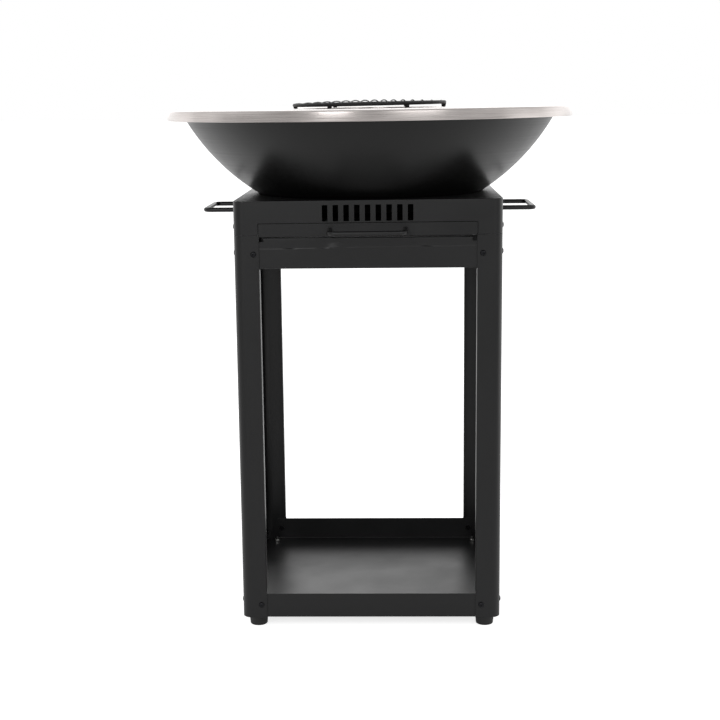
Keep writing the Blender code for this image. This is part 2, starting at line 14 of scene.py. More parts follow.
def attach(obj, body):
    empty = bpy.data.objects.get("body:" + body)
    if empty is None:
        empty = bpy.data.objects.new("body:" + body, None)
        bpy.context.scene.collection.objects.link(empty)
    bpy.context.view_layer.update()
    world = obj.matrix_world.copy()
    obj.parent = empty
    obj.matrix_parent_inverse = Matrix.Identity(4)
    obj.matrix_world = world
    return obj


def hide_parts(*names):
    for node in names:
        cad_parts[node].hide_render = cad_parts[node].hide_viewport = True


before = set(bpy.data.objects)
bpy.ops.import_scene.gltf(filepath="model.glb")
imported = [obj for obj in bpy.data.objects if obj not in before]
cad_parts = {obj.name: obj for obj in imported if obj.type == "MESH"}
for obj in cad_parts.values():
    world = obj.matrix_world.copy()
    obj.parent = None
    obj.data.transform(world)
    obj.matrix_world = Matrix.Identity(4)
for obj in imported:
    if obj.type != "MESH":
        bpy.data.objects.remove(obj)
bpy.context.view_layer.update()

# %% [markdown]
# Paint makers give colours as screen values, but light is added up in linear values, so one function turns
# the first into the second. A second small function adds a shader node with its settings and links, which
# keeps each finish below short enough to read.

# %% Colour and shader helpers


def to_linear(hex_colour):
    """Screen colour such as #1a1a1b as linear red, green, blue and alpha."""
    screen = [int(hex_colour[i:i + 2], 16) / 255 for i in (1, 3, 5)]
    linear = [c / 12.92 if c <= 0.04045 else ((c + 0.055) / 1.055) ** 2.4 for c in screen]
    return (*linear, 1.0)


def add(tree, kind, inputs=None, **settings):
    """Add a node, set its settings, and link or fill its inputs."""
    node = tree.nodes.new(kind)
    for setting, value in settings.items():
        setattr(node, setting, value)
    for key, value in (inputs or {}).items():
        if isinstance(value, bpy.types.NodeSocket):
            tree.links.new(value, node.inputs[key])
        else:
            node.inputs[key].default_value = value
    return node


def blank_finish(name, **constants):
    """A material with only its main shader. Returns the material, its node tree and the shader."""
    finish = bpy.data.materials.new(name)
    finish.use_nodes = True
    tree = finish.node_tree
    tree.nodes.clear()
    inputs = {key.replace("_", " ").title().replace("Ior", "IOR"): value for key, value in constants.items()}
    shader = add(tree, "ShaderNodeBsdfPrincipled", inputs)
    add(tree, "ShaderNodeOutputMaterial", {"Surface": shader.outputs[0]})
    return finish, tree, shader


def connect(tree, shader, **links):
    """Link node outputs to the shader's inputs by name."""
    for key, output in links.items():
        tree.links.new(output, shader.inputs[key.replace("_", " ").title()])


MM = 0.001
print("black of the powder coat in linear light", to_linear("#0c0c0d")[:3])

# %% [markdown]
# The stand is sheet steel with a baked polyester powder coat. Powder flows out into a skin with a faint
# orange peel, which breaks up reflections and gives a semi-matt black. Real peel is about 0.5 mm wide. It is
# drawn at 2 mm, because anything finer is lost in the render. A wide, weak cloud stands for the uneven gloss
# of a baked coat. Polyester has an IOR near 1.5. The photograph's blacks reflect less than that, and 1.42
# matches them. The peel could be real displaced faces, but it is only microns deep, so a bump is enough.

# %% Powder-coated steel
powder_coated_steel, tree, shader = blank_finish("powder_coated_steel", metallic=0.0, ior=1.42)
where = add(tree, "ShaderNodeTexCoord").outputs["Object"]
cloud = add(tree, "ShaderNodeTexNoise", {"Vector": where, "Scale": 1 / (90 * MM), "Detail": 3.0}).outputs[0]
peel = add(tree, "ShaderNodeTexNoise", {"Vector": where, "Scale": 1 / (2 * MM), "Detail": 1.0}).outputs[0]
black = {0: cloud, 6: to_linear("#080809"), 7: to_linear("#0c0c0d")}
gloss = {"Value": cloud, "From Min": 0.3, "From Max": 0.7, "To Min": 0.35, "To Max": 0.43}
connect(
    tree,
    shader,
    base_color=add(tree, "ShaderNodeMix", black, data_type="RGBA").outputs[2],
    roughness=add(tree, "ShaderNodeMapRange", gloss).outputs[0],
    normal=add(tree, "ShaderNodeBump", {"Height": peel, "Strength": 0.35, "Distance": 0.06 * MM}).outputs[0],
)
print("powder coat", len(tree.nodes), "nodes")

# %% [markdown]
# The bowl gets a heat-proof silicone paint. It is sprayed thin over spun steel, so it is smoother and a
# little glossier than powder, with fine overspray grain. Spinning leaves faint rings, which show as bands in
# the gloss. The rings are about 1 mm apart and are drawn 4 mm apart. They could be a picture wrapped round
# the bowl. A noise that changes only with height gives the same bands with no picture and no seam. The IOR
# starts near 1.43 for silicone and is 1.38 after matching.

# %% Heat-proof satin paint
heat_proof_paint, tree, shader = blank_finish("heat_proof_satin_paint", metallic=0.0, ior=1.38)
where = add(tree, "ShaderNodeTexCoord").outputs["Object"]
height = add(tree, "ShaderNodeSeparateXYZ", {"Vector": where}).outputs["Z"]
level = add(tree, "ShaderNodeCombineXYZ", {"Z": height}).outputs[0]
rings = add(tree, "ShaderNodeTexNoise", {"Vector": level, "Scale": 1 / (4 * MM), "Detail": 2.0}).outputs[0]
grain = add(tree, "ShaderNodeTexNoise", {"Vector": where, "Scale": 1 / (2 * MM), "Detail": 2.0}).outputs[0]
mist = add(tree, "ShaderNodeTexNoise", {"Vector": where, "Scale": 1 / (120 * MM), "Detail": 4.0}).outputs[0]
black = {0: mist, 6: to_linear("#0a0a0a"), 7: to_linear("#0f0f0f")}
both = add(tree, "ShaderNodeMath", {0: rings, 1: mist}, operation="ADD").outputs[0]
gloss = {"Value": both, "From Min": 0.7, "From Max": 1.3, "To Min": 0.33, "To Max": 0.41}
connect(
    tree,
    shader,
    base_color=add(tree, "ShaderNodeMix", black, data_type="RGBA").outputs[2],
    roughness=add(tree, "ShaderNodeMapRange", gloss).outputs[0],
    normal=add(tree, "ShaderNodeBump", {"Height": grain, "Strength": 0.2, "Distance": 0.05 * MM}).outputs[0],
)
print("heat-proof paint", len(tree.nodes), "nodes")

# %% [markdown]
# The hot plate is bare hot-rolled steel, ground with an abrasive belt while it turns. The scratches run round
# the plate, so reflections smear across them, from the middle outward and up and down the rim. The pattern
# follows the plate's own section: it changes quickly with the distance along it and slowly round it. Belt
# scratches are about 0.1 mm wide and are drawn 1.2 mm wide. The warm tint is the thin oil film that keeps
# rust away. Grooves this fine can't be modelled, so the shader's anisotropy gives the smear and a stretched
# noise gives the lines.

# %% Ground steel of the hot plate
ground_steel, tree, shader = blank_finish("ground_steel", metallic=1.0)
shader.inputs["Anisotropic"].default_value = 0.6
shader.inputs["Anisotropic Rotation"].default_value = 0.25
where = add(tree, "ShaderNodeTexCoord").outputs["Object"]
flat = add(tree, "ShaderNodeVectorMath", {0: where, 1: (1, 1, 0)}, operation="MULTIPLY").outputs[0]
radius = add(tree, "ShaderNodeVectorMath", {0: flat}, operation="LENGTH").outputs["Value"]
heading = add(tree, "ShaderNodeVectorMath", {0: flat}, operation="NORMALIZE").outputs[0]
height = add(tree, "ShaderNodeSeparateXYZ", {"Vector": where}).outputs["Z"]
along = add(tree, "ShaderNodeMath", {0: radius, 1: height}, operation="SUBTRACT").outputs[0]
lines = add(tree, "ShaderNodeMath", {0: along, 1: 1 / (1.2 * MM)}, operation="MULTIPLY").outputs[0]
turn = add(tree, "ShaderNodeVectorMath", {0: heading, 1: (4, 4, 0)}, operation="MULTIPLY").outputs[0]
lift = add(tree, "ShaderNodeCombineXYZ", {"Z": lines}).outputs[0]
belt = add(tree, "ShaderNodeVectorMath", {0: turn, 1: lift}, operation="ADD").outputs[0]
scratch = add(tree, "ShaderNodeTexNoise", {"Vector": belt, "Scale": 1.0, "Detail": 3.0}).outputs[0]
film = add(tree, "ShaderNodeTexNoise", {"Vector": where, "Scale": 1 / (150 * MM), "Detail": 3.0}).outputs[0]
both = add(tree, "ShaderNodeMath", {0: scratch, 1: film}, operation="ADD").outputs[0]
tone = {"Value": both, "From Min": 0.7, "From Max": 1.3}
share = add(tree, "ShaderNodeMapRange", tone).outputs[0]
steel = {0: share, 6: to_linear("#aba4a1"), 7: to_linear("#ccc6c3")}
gloss = {"Value": scratch, "From Min": 0.3, "From Max": 0.7, "To Min": 0.24, "To Max": 0.36}
grooves = {"Height": scratch, "Strength": 0.2, "Distance": 0.02 * MM}
connect(
    tree,
    shader,
    base_color=add(tree, "ShaderNodeMix", steel, data_type="RGBA").outputs[2],
    roughness=add(tree, "ShaderNodeMapRange", gloss).outputs[0],
    normal=add(tree, "ShaderNodeBump", grooves).outputs[0],
    tangent=add(tree, "ShaderNodeTangent", direction_type="RADIAL", axis="Z").outputs[0],
)
print("ground steel", len(tree.nodes), "nodes")

# %% [markdown]
# The cooking grate is round steel wire, welded and then dipped in black vitreous enamel. This is the satin
# kind, which is fired with a fine pigment at its surface. It runs a little while it melts, which leaves soft
# waves about 6 mm long. Enamel is a glass with an IOR near 1.5, but its pigment dulls it, and 1.36 matches
# the photograph. The waves could be carved into the wire, but the wire is thin, and a bump shows them as
# well.

# %% Black enamel on wire
enamelled_wire, tree, shader = blank_finish("black_enamelled_wire", metallic=0.0, ior=1.36)
where = add(tree, "ShaderNodeTexCoord").outputs["Object"]
runs = add(tree, "ShaderNodeTexNoise", {"Vector": where, "Scale": 1 / (6 * MM), "Detail": 1.0}).outputs[0]
black = {0: runs, 6: to_linear("#0e0e0f"), 7: to_linear("#151514")}
gloss = {"Value": runs, "From Min": 0.3, "From Max": 0.7, "To Min": 0.52, "To Max": 0.62}
connect(
    tree,
    shader,
    base_color=add(tree, "ShaderNodeMix", black, data_type="RGBA").outputs[2],
    roughness=add(tree, "ShaderNodeMapRange", gloss).outputs[0],
    normal=add(tree, "ShaderNodeBump", {"Height": runs, "Strength": 0.3, "Distance": 0.2 * MM}).outputs[0],
)
print("enamel", len(tree.nodes), "nodes")

# %% [markdown]
# The coal grate is sand-cast grey iron, left bare. Sand leaves a skin of grains about 0.4 mm wide, drawn at
# 1 mm. It is dark, rough and slightly brown where the first fires have oxidised it. One noise makes the
# grains and a second, much wider one mixes in the brown, so the two never line up.

# %% Sand-cast iron
cast_iron, tree, shader = blank_finish("sand_cast_iron", metallic=1.0)
where = add(tree, "ShaderNodeTexCoord").outputs["Object"]
sand = add(tree, "ShaderNodeTexNoise", {"Vector": where, "Scale": 1 / (1 * MM), "Detail": 2.0}).outputs[0]
rust = add(tree, "ShaderNodeTexNoise", {"Vector": where, "Scale": 1 / (40 * MM), "Detail": 5.0}).outputs[0]
iron = {0: rust, 6: to_linear("#434240"), 7: to_linear("#574f48")}
gloss = {"Value": sand, "From Min": 0.3, "From Max": 0.7, "To Min": 0.55, "To Max": 0.7}
connect(
    tree,
    shader,
    base_color=add(tree, "ShaderNodeMix", iron, data_type="RGBA").outputs[2],
    roughness=add(tree, "ShaderNodeMapRange", gloss).outputs[0],
    normal=add(tree, "ShaderNodeBump", {"Height": sand, "Strength": 0.6, "Distance": 0.3 * MM}).outputs[0],
)
print("cast iron", len(tree.nodes), "nodes")

# %% [markdown]
# The feet are injection-moulded nylon. The mould is spark-eroded, which gives an even fine texture about
# 0.3 mm wide, drawn at 1.5 mm. Nylon has an IOR of 1.5 to 1.53 and looks dull black beside the paint. A plain
# colour would do from afar, but the texture keeps the feet from looking wet.

# %% Moulded nylon
moulded_nylon, tree, shader = blank_finish("moulded_nylon", metallic=0.0, ior=1.50)
where = add(tree, "ShaderNodeTexCoord").outputs["Object"]
spark = add(tree, "ShaderNodeTexNoise", {"Vector": where, "Scale": 1 / (1.5 * MM), "Detail": 2.0}).outputs[0]
black = {0: spark, 6: to_linear("#080808"), 7: to_linear("#0c0c0c")}
gloss = {"Value": spark, "From Min": 0.3, "From Max": 0.7, "To Min": 0.54, "To Max": 0.66}
connect(
    tree,
    shader,
    base_color=add(tree, "ShaderNodeMix", black, data_type="RGBA").outputs[2],
    roughness=add(tree, "ShaderNodeMapRange", gloss).outputs[0],
    normal=add(tree, "ShaderNodeBump", {"Height": spark, "Strength": 0.4, "Distance": 0.1 * MM}).outputs[0],
)
print("nylon", len(tree.nodes), "nodes")

# %% [markdown]
# Screws and nuts are steel with a black zinc passivation, a conversion layer so thin that the metal still
# shines through. The bath leaves the colour patchy over a few millimetres. A dark metal gives that better
# than a black paint with a shiny coat, because its reflections stay dark too. The nuts on the feet are bright
# in the photograph: plain zinc, clear passivated, with the same patchy bath marks. So one function makes both
# finishes from their two colours.

# %% Zinc on screws and nuts


def passivated_zinc(name, dark, pale):
    """Zinc out of a passivation bath, patchy between two screen colours."""
    finish, tree, shader = blank_finish(name, metallic=1.0)
    where = add(tree, "ShaderNodeTexCoord").outputs["Object"]
    bath = {"Vector": where, "Scale": 1 / (4 * MM), "Detail": 2.0}
    patch = add(tree, "ShaderNodeTexNoise", bath).outputs[0]
    zinc = {0: patch, 6: to_linear(dark), 7: to_linear(pale)}
    gloss = {"Value": patch, "From Min": 0.3, "From Max": 0.7, "To Min": 0.20, "To Max": 0.32}
    connect(
        tree,
        shader,
        base_color=add(tree, "ShaderNodeMix", zinc, data_type="RGBA").outputs[2],
        roughness=add(tree, "ShaderNodeMapRange", gloss).outputs[0],
    )
    return finish


black_zinc = passivated_zinc("black_zinc", "#1e1e20", "#303032")
bright_zinc = passivated_zinc("bright_zinc", "#a9aaa8", "#c9c9c4")
print("zinc", len(black_zinc.node_tree.nodes), "nodes")

# %% [markdown]
# Every piece names its finish by what it is on the grill. One table turns that name into the material. A
# finish could be given to each piece by hand, but with a table it is changed in one place. Only the bright
# nuts on the feet get theirs afterwards.

# %% Finishes by name
FINISHES = {
    "stand_paint": powder_coated_steel,
    "bowl_paint": heat_proof_paint,
    "plate_steel": ground_steel,
    "grate_wire": enamelled_wire,
    "cast_grate": cast_iron,
    "foot_plastic": moulded_nylon,
    "fastener": black_zinc,
}
print(len(FINISHES), "finishes in the table")

# %% [markdown]
# Almost every piece here is made in one of four ways: a flat outline carried straight on, a section turned
# round an axis, a round bar swept along a bend, or a sheet folded along lines. Each way gets one function,
# which adds its faces to a bmesh, so that several shapes can go into one piece or one cutter. The first way
# starts from an outline, often one with round corners, and suits whatever is cut from flat sheet. A
# ready-made cube would have no round corners and no odd outlines.

# %% Outlines carried straight on


def arc(centre, radius, start, end, steps):
    """Points on an arc, angles in degrees."""
    angles = [math.radians(start + (end - start) * i / steps) for i in range(steps + 1)]
    return [(centre[0] + radius * math.cos(a), centre[1] + radius * math.sin(a)) for a in angles]


def rounded_rectangle(half_u, half_v, radius, steps, middle=(0, 0)):
    """Outline of a rectangle with round corners, from its half sizes."""
    points = []
    for su, sv, start in ((1, 1, 0), (-1, 1, 90), (-1, -1, 180), (1, -1, 270)):
        centre = (middle[0] + su * (half_u - radius), middle[1] + sv * (half_v - radius))
        points += arc(centre, radius, start, start + 90, steps)
    return points


AXES = {"Y": lambda u, v, w: (u, w, v), "Z": lambda u, v, w: (u, v, w)}


def prism(bm, outline, low, high, axis="Z"):
    """A closed outline carried from low to high along an axis."""
    place = AXES[axis]
    bottom, top = ([bm.verts.new(place(u, v, w)) for u, v in outline] for w in (low, high))
    for i in range(len(outline)):
        j = (i + 1) % len(outline)
        bm.faces.new((bottom[i], bottom[j], top[j], top[i]))
    bm.faces.new(bottom[::-1])
    bm.faces.new(top)
    return bm


print("a square with round corners of 4 steps has", len(rounded_rectangle(1, 1, 0.2, 4)), "points")

# %% [markdown]
# The bowl, the plate, the screws and the feet are round, and in reality they are spun, rolled or turned.
# Blender's own cylinders and cones make one step at a time. Here a list of (radius, height) points gives the
# whole section at once, and any level of it can be a hexagon instead of a circle, which makes a nut.

# %% Sections turned round an axis


def lay_along(direction, position):
    """Matrix that lays a shape made along +Z along another direction, at a place."""
    turn = Vector((0, 0, 1)).rotation_difference(Vector(direction)).to_matrix().to_4x4()
    return Matrix.Translation(position) @ turn


def hexagon(corner, angle):
    """Distance from the middle to the side of a hexagon, at an angle."""
    return corner * math.cos(math.pi / 6) / math.cos((angle % (math.pi / 3)) - math.pi / 6)


def turned(bm, profile, sides, place=Matrix(), ring=False):
    """Turn (radius, height) points about Z. A third item, hex, makes that level a hexagon of that size."""
    rings = []
    for radius, height, *shape in profile:
        row = []
        for i in range(sides):
            angle = 2 * math.pi * i / sides
            r = hexagon(radius, angle) if shape else radius
            row.append(bm.verts.new(place @ Vector((r * math.cos(angle), r * math.sin(angle), height))))
        rings.append(row)
    pairs = list(zip(rings, rings[1:]))
    if ring:
        pairs.append((rings[-1], rings[0]))
    else:
        bm.faces.new(rings[0][::-1])
        bm.faces.new(rings[-1])
    for low, high in pairs:
        for i in range(sides):
            j = (i + 1) % sides
            bm.faces.new((low[i], low[j], high[j], high[i]))
    return bm


print("a 10 mm hexagon is", round(hexagon(5.77, math.pi / 6) * 2, 2), "mm across its flats")

# %% [markdown]
# The handles and the grate's rods are round bar. A ring of points is set square to the path at every step and
# joined to the one before. Each ring takes its first direction from the last one, so that the bar doesn't
# twist where it bends.

# %% Bars swept along a bend


def swept(bm, points, radii, sides):
    """A round bar through the points, with its own radius at each."""
    points = [Vector(p) for p in points]
    rings, across = [], None
    for i, point in enumerate(points):
        along = (points[min(i + 1, len(points) - 1)] - points[max(i - 1, 0)]).normalized()
        across = along.orthogonal() if across is None else across
        across = (across - along * across.dot(along)).normalized()
        other = along.cross(across)
        turns = [2 * math.pi * k / sides for k in range(sides)]
        row = [point + radii[i] * (math.cos(a) * across + math.sin(a) * other) for a in turns]
        rings.append([bm.verts.new(p) for p in row])
    for low, high in zip(rings, rings[1:]):
        for k in range(sides):
            n = (k + 1) % sides
            bm.faces.new((low[k], low[n], high[n], high[k]))
    bm.faces.new(rings[0][::-1])
    bm.faces.new(rings[-1])
    return bm


trial = swept(bmesh.new(), [(0, 0, 0), (0, 0, 1)], [1, 1], 24)
print("a straight bar has", len(trial.faces), "faces")
trial.free()

# %% [markdown]
# Folded sheet is drawn as the outside line of its section. Each corner of that line becomes a round bend. The
# line is then carried along the fold as a strip of faces, and Solidify gives it its gauge inward. That is how
# the real part is made too: a flat blank, bent on a press brake.

# %% Round bends


def bend_corners(points, radii, steps=6):
    """Round each inner corner of an open line. Returns one list of points per straight or bend."""
    points = [Vector(p) for p in points]
    runs, start = [], points[0]
    for i, radius in enumerate(radii, 1):
        back = (points[i - 1] - points[i]).normalized()
        ahead = (points[i + 1] - points[i]).normalized()
        inner = back.angle(ahead)
        reach = radius / math.tan(inner / 2)
        centre = points[i] + (back + ahead).normalized() * radius / math.sin(inner / 2)
        first, last = points[i] + back * reach - centre, points[i] + ahead * reach - centre
        total = math.pi - inner
        bend = []
        for k in range(steps + 1):
            a = total * k / steps
            bend.append(centre + (first * math.sin(total - a) + last * math.sin(a)) / math.sin(total))
        runs.append([start, bend[0]])
        runs.append(bend)
        start = bend[-1]
    runs.append([start, points[-1]])
    return runs


def whole(runs):
    """The runs of a line joined into one list of points, without the repeats."""
    line = list(runs[0])
    for run in runs[1:]:
        line += run[1:]
    return line


elbow = whole(bend_corners([(0, 0), (10, 0), (10, 10)], [3]))
print("a right-angled bend has", len(elbow), "points and starts at", tuple(round(v, 2) for v in elbow[1]))

# %% [markdown]
# The strip gets one face for each step of the line. Its two ends are either level or have a height for each
# point of the line, and that second way cuts the corner of a lip off at an angle.

# %% Strips of faces


def strip(bm, line, low, high, axis="Z"):
    """Carry an open line from low to high, each one level or a level for each point."""
    place = AXES[axis]
    lows = low if isinstance(low, (list, tuple)) else [low] * len(line)
    highs = high if isinstance(high, (list, tuple)) else [high] * len(line)
    bottom = [bm.verts.new(place(p[0], p[1], w)) for p, w in zip(line, lows)]
    top = [bm.verts.new(place(p[0], p[1], w)) for p, w in zip(line, highs)]
    for i in range(len(line) - 1):
        bm.faces.new((bottom[i], bottom[i + 1], top[i + 1], top[i]))
    return bm


trial = strip(bmesh.new(), elbow, 0, 1)
print("that bend becomes", len(trial.faces), "faces")
trial.free()

# %% [markdown]
# A bmesh is only a workbench. It becomes an object in the scene once its faces are in place. Points that lie
# on each other are joined first, because rounding an edge needs the faces on both sides of it to share it. In
# the photograph everything above the legs climbs to the right by a quarter of a degree. The solids are level,
# so that lean is put into the shown pieces here, by moving their points.

# %% From shape to object
TOP_LEAN, LEAN_RUN = 0.0045, 0.020


def as_object(name, bm):
    """Turn a bmesh into an object in the scene, with doubled points joined."""
    bmesh.ops.remove_doubles(bm, verts=bm.verts, dist=1e-6)
    mesh = bpy.data.meshes.new(name)
    bm.to_mesh(mesh)
    bm.free()
    piece = bpy.data.objects.new(name, mesh)
    bpy.context.scene.collection.objects.link(piece)
    return piece


def closed(bm):
    """Point the faces of a closed shape outward."""
    bmesh.ops.recalc_face_normals(bm, faces=bm.faces)
    return bm


def lean_right_up(mesh, start):
    """Raise the right side and lower the left, growing to the full lean over LEAN_RUN above a height."""
    for vertex in mesh.vertices:
        share = min(max((vertex.co.z - start) / LEAN_RUN, 0.0), 1.0)
        vertex.co.z += TOP_LEAN * share * vertex.co.x


print("the lean is", round(math.degrees(TOP_LEAN), 2), "degrees")

# %% [markdown]
# One function takes a raw shape to a finished piece. It gives a sheet its gauge, cuts the holes, and rounds
# every edge a little, as tumbling or paint does. An edge that is perfectly sharp catches no light and looks
# drawn. Weighted normals keep the flats flat beside those small bevels. The modifiers that shape the piece
# are applied at once, so that nothing depends on the cutters any more. The piece then takes its finish, rides
# on its body and stands for its solid. A piece with no rounded edges keeps a crease from a smaller angle on.

# %% Finishing a piece
EDGE = 0.35 * MM
SHARP, SHARP_UNWORKED = math.radians(50), math.radians(35)
made = []


def finish_piece(
    node, bm, slot, body, gauge=0.0, cutters=(), edge=EDGE, place=None, lean_from=None, stands_in=True
):
    """Work a raw shape into a finished piece of the grill. A place may turn or mirror it."""
    piece = as_object("shown_" + node, bm)
    tools = []
    if gauge:
        step = piece.modifiers.new("gauge", "SOLIDIFY")
        step.thickness, step.offset, step.use_even_offset = gauge, -1.0, True
    for cutter in cutters:
        tool = as_object("cutter", closed(cutter))
        tools.append(tool)
        step = piece.modifiers.new("cut", "BOOLEAN")
        step.operation, step.solver, step.object = "DIFFERENCE", "EXACT", tool
    if edge:
        step = piece.modifiers.new("edge", "BEVEL")
        step.width, step.segments, step.limit_method, step.angle_limit = edge, 2, "ANGLE", SHARP
    shown = piece.evaluated_get(bpy.context.evaluated_depsgraph_get())
    mesh = bpy.data.meshes.new_from_object(shown)
    mesh.name = piece.name
    piece.modifiers.clear()
    piece.data = mesh
    for tool in tools:
        bpy.data.objects.remove(tool, do_unlink=True)
    if place:
        mesh.transform(place)
        if place.determinant() < 0:
            mesh.flip_normals()
    if lean_from is not None:
        lean_right_up(mesh, lean_from)
    mesh.shade_smooth()
    mesh.set_sharp_from_angle(angle=SHARP if edge else SHARP_UNWORKED)
    if edge:
        piece.modifiers.new("flats", "WEIGHTED_NORMAL").keep_sharp = True
    mesh.materials.clear()
    mesh.materials.append(FINISHES[slot])
    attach(piece, body)
    if stands_in:
        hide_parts(node)
    made.append(piece)
    return piece


print("edges are rounded", EDGE / MM, "mm")

# %% [markdown]
# Each leg is one folded blank. Its two faces meet in a bend of 18 mm, and a lip turned in along the edge of
# its front or rear face stiffens it. The lip stops short at both ends, where the tray and the apron lie
# against the face, and its corners are cut off at an angle. The bright line down each lip in the photograph
# is the small bend catching the light. A leg could be a block with its inside cut away, but one folded strip
# keeps the same gauge through every bend. Left and right legs are mirror images, so one blank makes all four.

# %% Legs
HALF = 0.250
GAP = 0.0003
LEG_T = 0.002
LEG_EDGE = -0.2022
LEG_LIP = 0.018
LIP_LOW, LIP_HIGH = 0.073, 0.703
LEG_LOW, LEG_HIGH = 0.021, 0.7655
LIP_CHAMFER = 0.003
CORNER_BEND, LIP_BEND = 0.018, 0.004
BOLT_IN = 0.213
LOW_BOLT_Z, HIGH_BOLT_Z = 0.047, 0.731
HOLE_R, HOLE_REACH = 0.0035, 0.012
CORNERS = (("front_left", -1, -1), ("front_right", 1, -1), ("rear_right", 1, 1), ("rear_left", -1, 1))


def bolt_holes(places, axis, radius=HOLE_R):
    """Cutter for round holes through sheet, along an axis, at (x, y, z) places."""
    bm = bmesh.new()
    for place in places:
        turned(bm, [(radius, -HOLE_REACH), (radius, HOLE_REACH)], 24, lay_along(axis, place))
    return bm


def leg_blank():
    """Outside line of the front left leg: side face, round bend, front face and lip."""
    corners = [(-HALF, LEG_EDGE), (-HALF, -HALF), (LEG_EDGE, -HALF), (LEG_EDGE, -HALF + LEG_T + LEG_LIP)]
    side, corner, face, lip_bend, lip = bend_corners(corners, [CORNER_BEND, LIP_BEND], 8)
    faces = whole([side, corner, face])
    full = faces + [(LEG_EDGE, -HALF)]
    bm = bmesh.new()
    strip(bm, full, LEG_LOW, LIP_LOW)
    strip(bm, full, LIP_HIGH, LEG_HIGH)
    strip(bm, faces, LIP_LOW, LIP_HIGH)
    turned_in = whole([lip_bend, lip])
    cut = [0] * (len(turned_in) - 1) + [LIP_CHAMFER]
    strip(bm, turned_in, [LIP_LOW + c for c in cut], [LIP_HIGH - c for c in cut])
    return bm


for corner_name, sx, sy in CORNERS:
    face_holes = bolt_holes([(-BOLT_IN, -HALF, z) for z in (LOW_BOLT_Z, HIGH_BOLT_Z)], (0, 1, 0))
    side_holes = bolt_holes([(-HALF, -BOLT_IN, z) for z in (LOW_BOLT_Z, HIGH_BOLT_Z)], (1, 0, 0))
    leg = finish_piece(
        "leg_" + corner_name, leg_blank(), "stand_paint", "stand", LEG_T, (face_holes, side_holes),
        place=Matrix.Diagonal((-sx, -sy, 1, 1)),
    )
print("leg faces", len(leg.data.polygons))

# %% [markdown]
# The storage tray is a square of sheet with its four sides folded up. The corners are left flat, because the
# legs close them. The floor is one face with round corners, and each wall starts in a 2.5 mm bend. A box with
# its lid off would be quicker, but its walls would meet at the corners, which the real ones don't.

# %% Storage tray
INNER = 0.2477
PANEL_END = 0.2215
PANEL_T = 0.0015
TRAY_LOW, TRAY_TOP = 0.021, 0.069
FOLD_R = 0.0025
CORNER_REACH, CORNER_R = 0.2475, 0.0155
CORNER_STEP = 0.002
FOOT_IN = 0.2215


def tray_blank():
    """Outer skin of the tray: its floor, and four walls rising from bends at the floor's edges."""
    bm = bmesh.new()
    flat = INNER - FOLD_R
    floor = []
    for turns in range(4):
        turn = Matrix.Rotation(turns * math.pi / 2, 4, "Z")
        side = [(-PANEL_END, -flat), (PANEL_END, -flat), (PANEL_END + CORNER_STEP, -CORNER_REACH)]
        side += arc((CORNER_REACH - CORNER_R, CORNER_R - CORNER_REACH), CORNER_R, 270, 360, 8)
        side += [(CORNER_REACH, -PANEL_END - CORNER_STEP)]
        floor += [bm.verts.new(turn @ Vector((x, y, TRAY_LOW))) for x, y in side]
        wall = whole(bend_corners([(-flat, TRAY_LOW), (-INNER, TRAY_LOW), (-INNER, TRAY_TOP)], [FOLD_R]))
        start, end = (
            [bm.verts.new(turn @ Vector((x, y, z))) for y, z in wall[1:]] for x in (-PANEL_END, PANEL_END)
        )
        for i in range(len(wall) - 2):
            bm.faces.new((start[i], end[i], end[i + 1], start[i + 1]))
    bm.faces.new(floor[::-1])
    return bm


def tray_holes():
    """Cutters for the bolts through the walls and the foot studs through the floor."""
    sides, ends, feet = [], [], []
    for _, sx, sy in CORNERS:
        ends.append((sx * BOLT_IN, sy * INNER, LOW_BOLT_Z))
        sides.append((sx * INNER, sy * BOLT_IN, LOW_BOLT_Z))
        feet.append((sx * FOOT_IN, sy * FOOT_IN, TRAY_LOW))
    return bolt_holes(ends, (0, 1, 0)), bolt_holes(sides, (1, 0, 0)), bolt_holes(feet, (0, 0, 1))


tray = finish_piece("storage_tray", tray_blank(), "stand_paint", "stand", PANEL_T, tray_holes())
print("tray faces", len(tray.data.polygons))

# %% [markdown]
# The front apron closes the gap under the drawer. A shallow step was pressed along it, so its lower part
# stands 0.3 mm proud. The step rises a little to the right and is up to 1.6 mm deeper in three places, which
# catch the light in short glints. At one of them the face above leans back and looks smeared. The step could
# be a bump in the paint, but only real faces bend a highlight at such a low angle. So its height and depth
# come from two small functions of the place along the apron.

# %% Pressed step of the front apron
STEP_Z, STEP_RISE, STEP_TALL = 0.7429, 0.0115, 0.0026
STEP_DEEP, STEP_EXTRA = 0.0003, 0.0016
WANDER = ((0.0003, 23, 0.7), (0.0002, 61, 2.0))
GLINTS = ((-0.146, 0.010), (-0.078, 0.020), (0.109, 0.013))
SMEAR_X, SMEAR_WIDTH, SMEAR_DEEP = -0.066, 0.016, 0.0036


def crease_height(x):
    """The pressed step wanders by a few tenths of a millimetre."""
    return STEP_Z + STEP_RISE * x + sum(size * math.sin(rate * x + shift) for size, rate, shift in WANDER)


def step_depth(x):
    """How far the face above the step is set back, with its deeper places."""
    return STEP_DEEP + STEP_EXTRA * sum(math.exp(-((x - middle) / width) ** 2) for middle, width in GLINTS)


print("the step is", round(step_depth(0) / MM, 2), "mm deep in the middle of the apron")

# %% [markdown]
# The face is built in upright columns, each with six rows of faces for the step. Both long edges are folded
# back, and the top fold ends in a notch at each side of the drawer. A notch could be cut, but here the spans
# of columns beside the drawer are simply given no fold, so the edges stay clean.

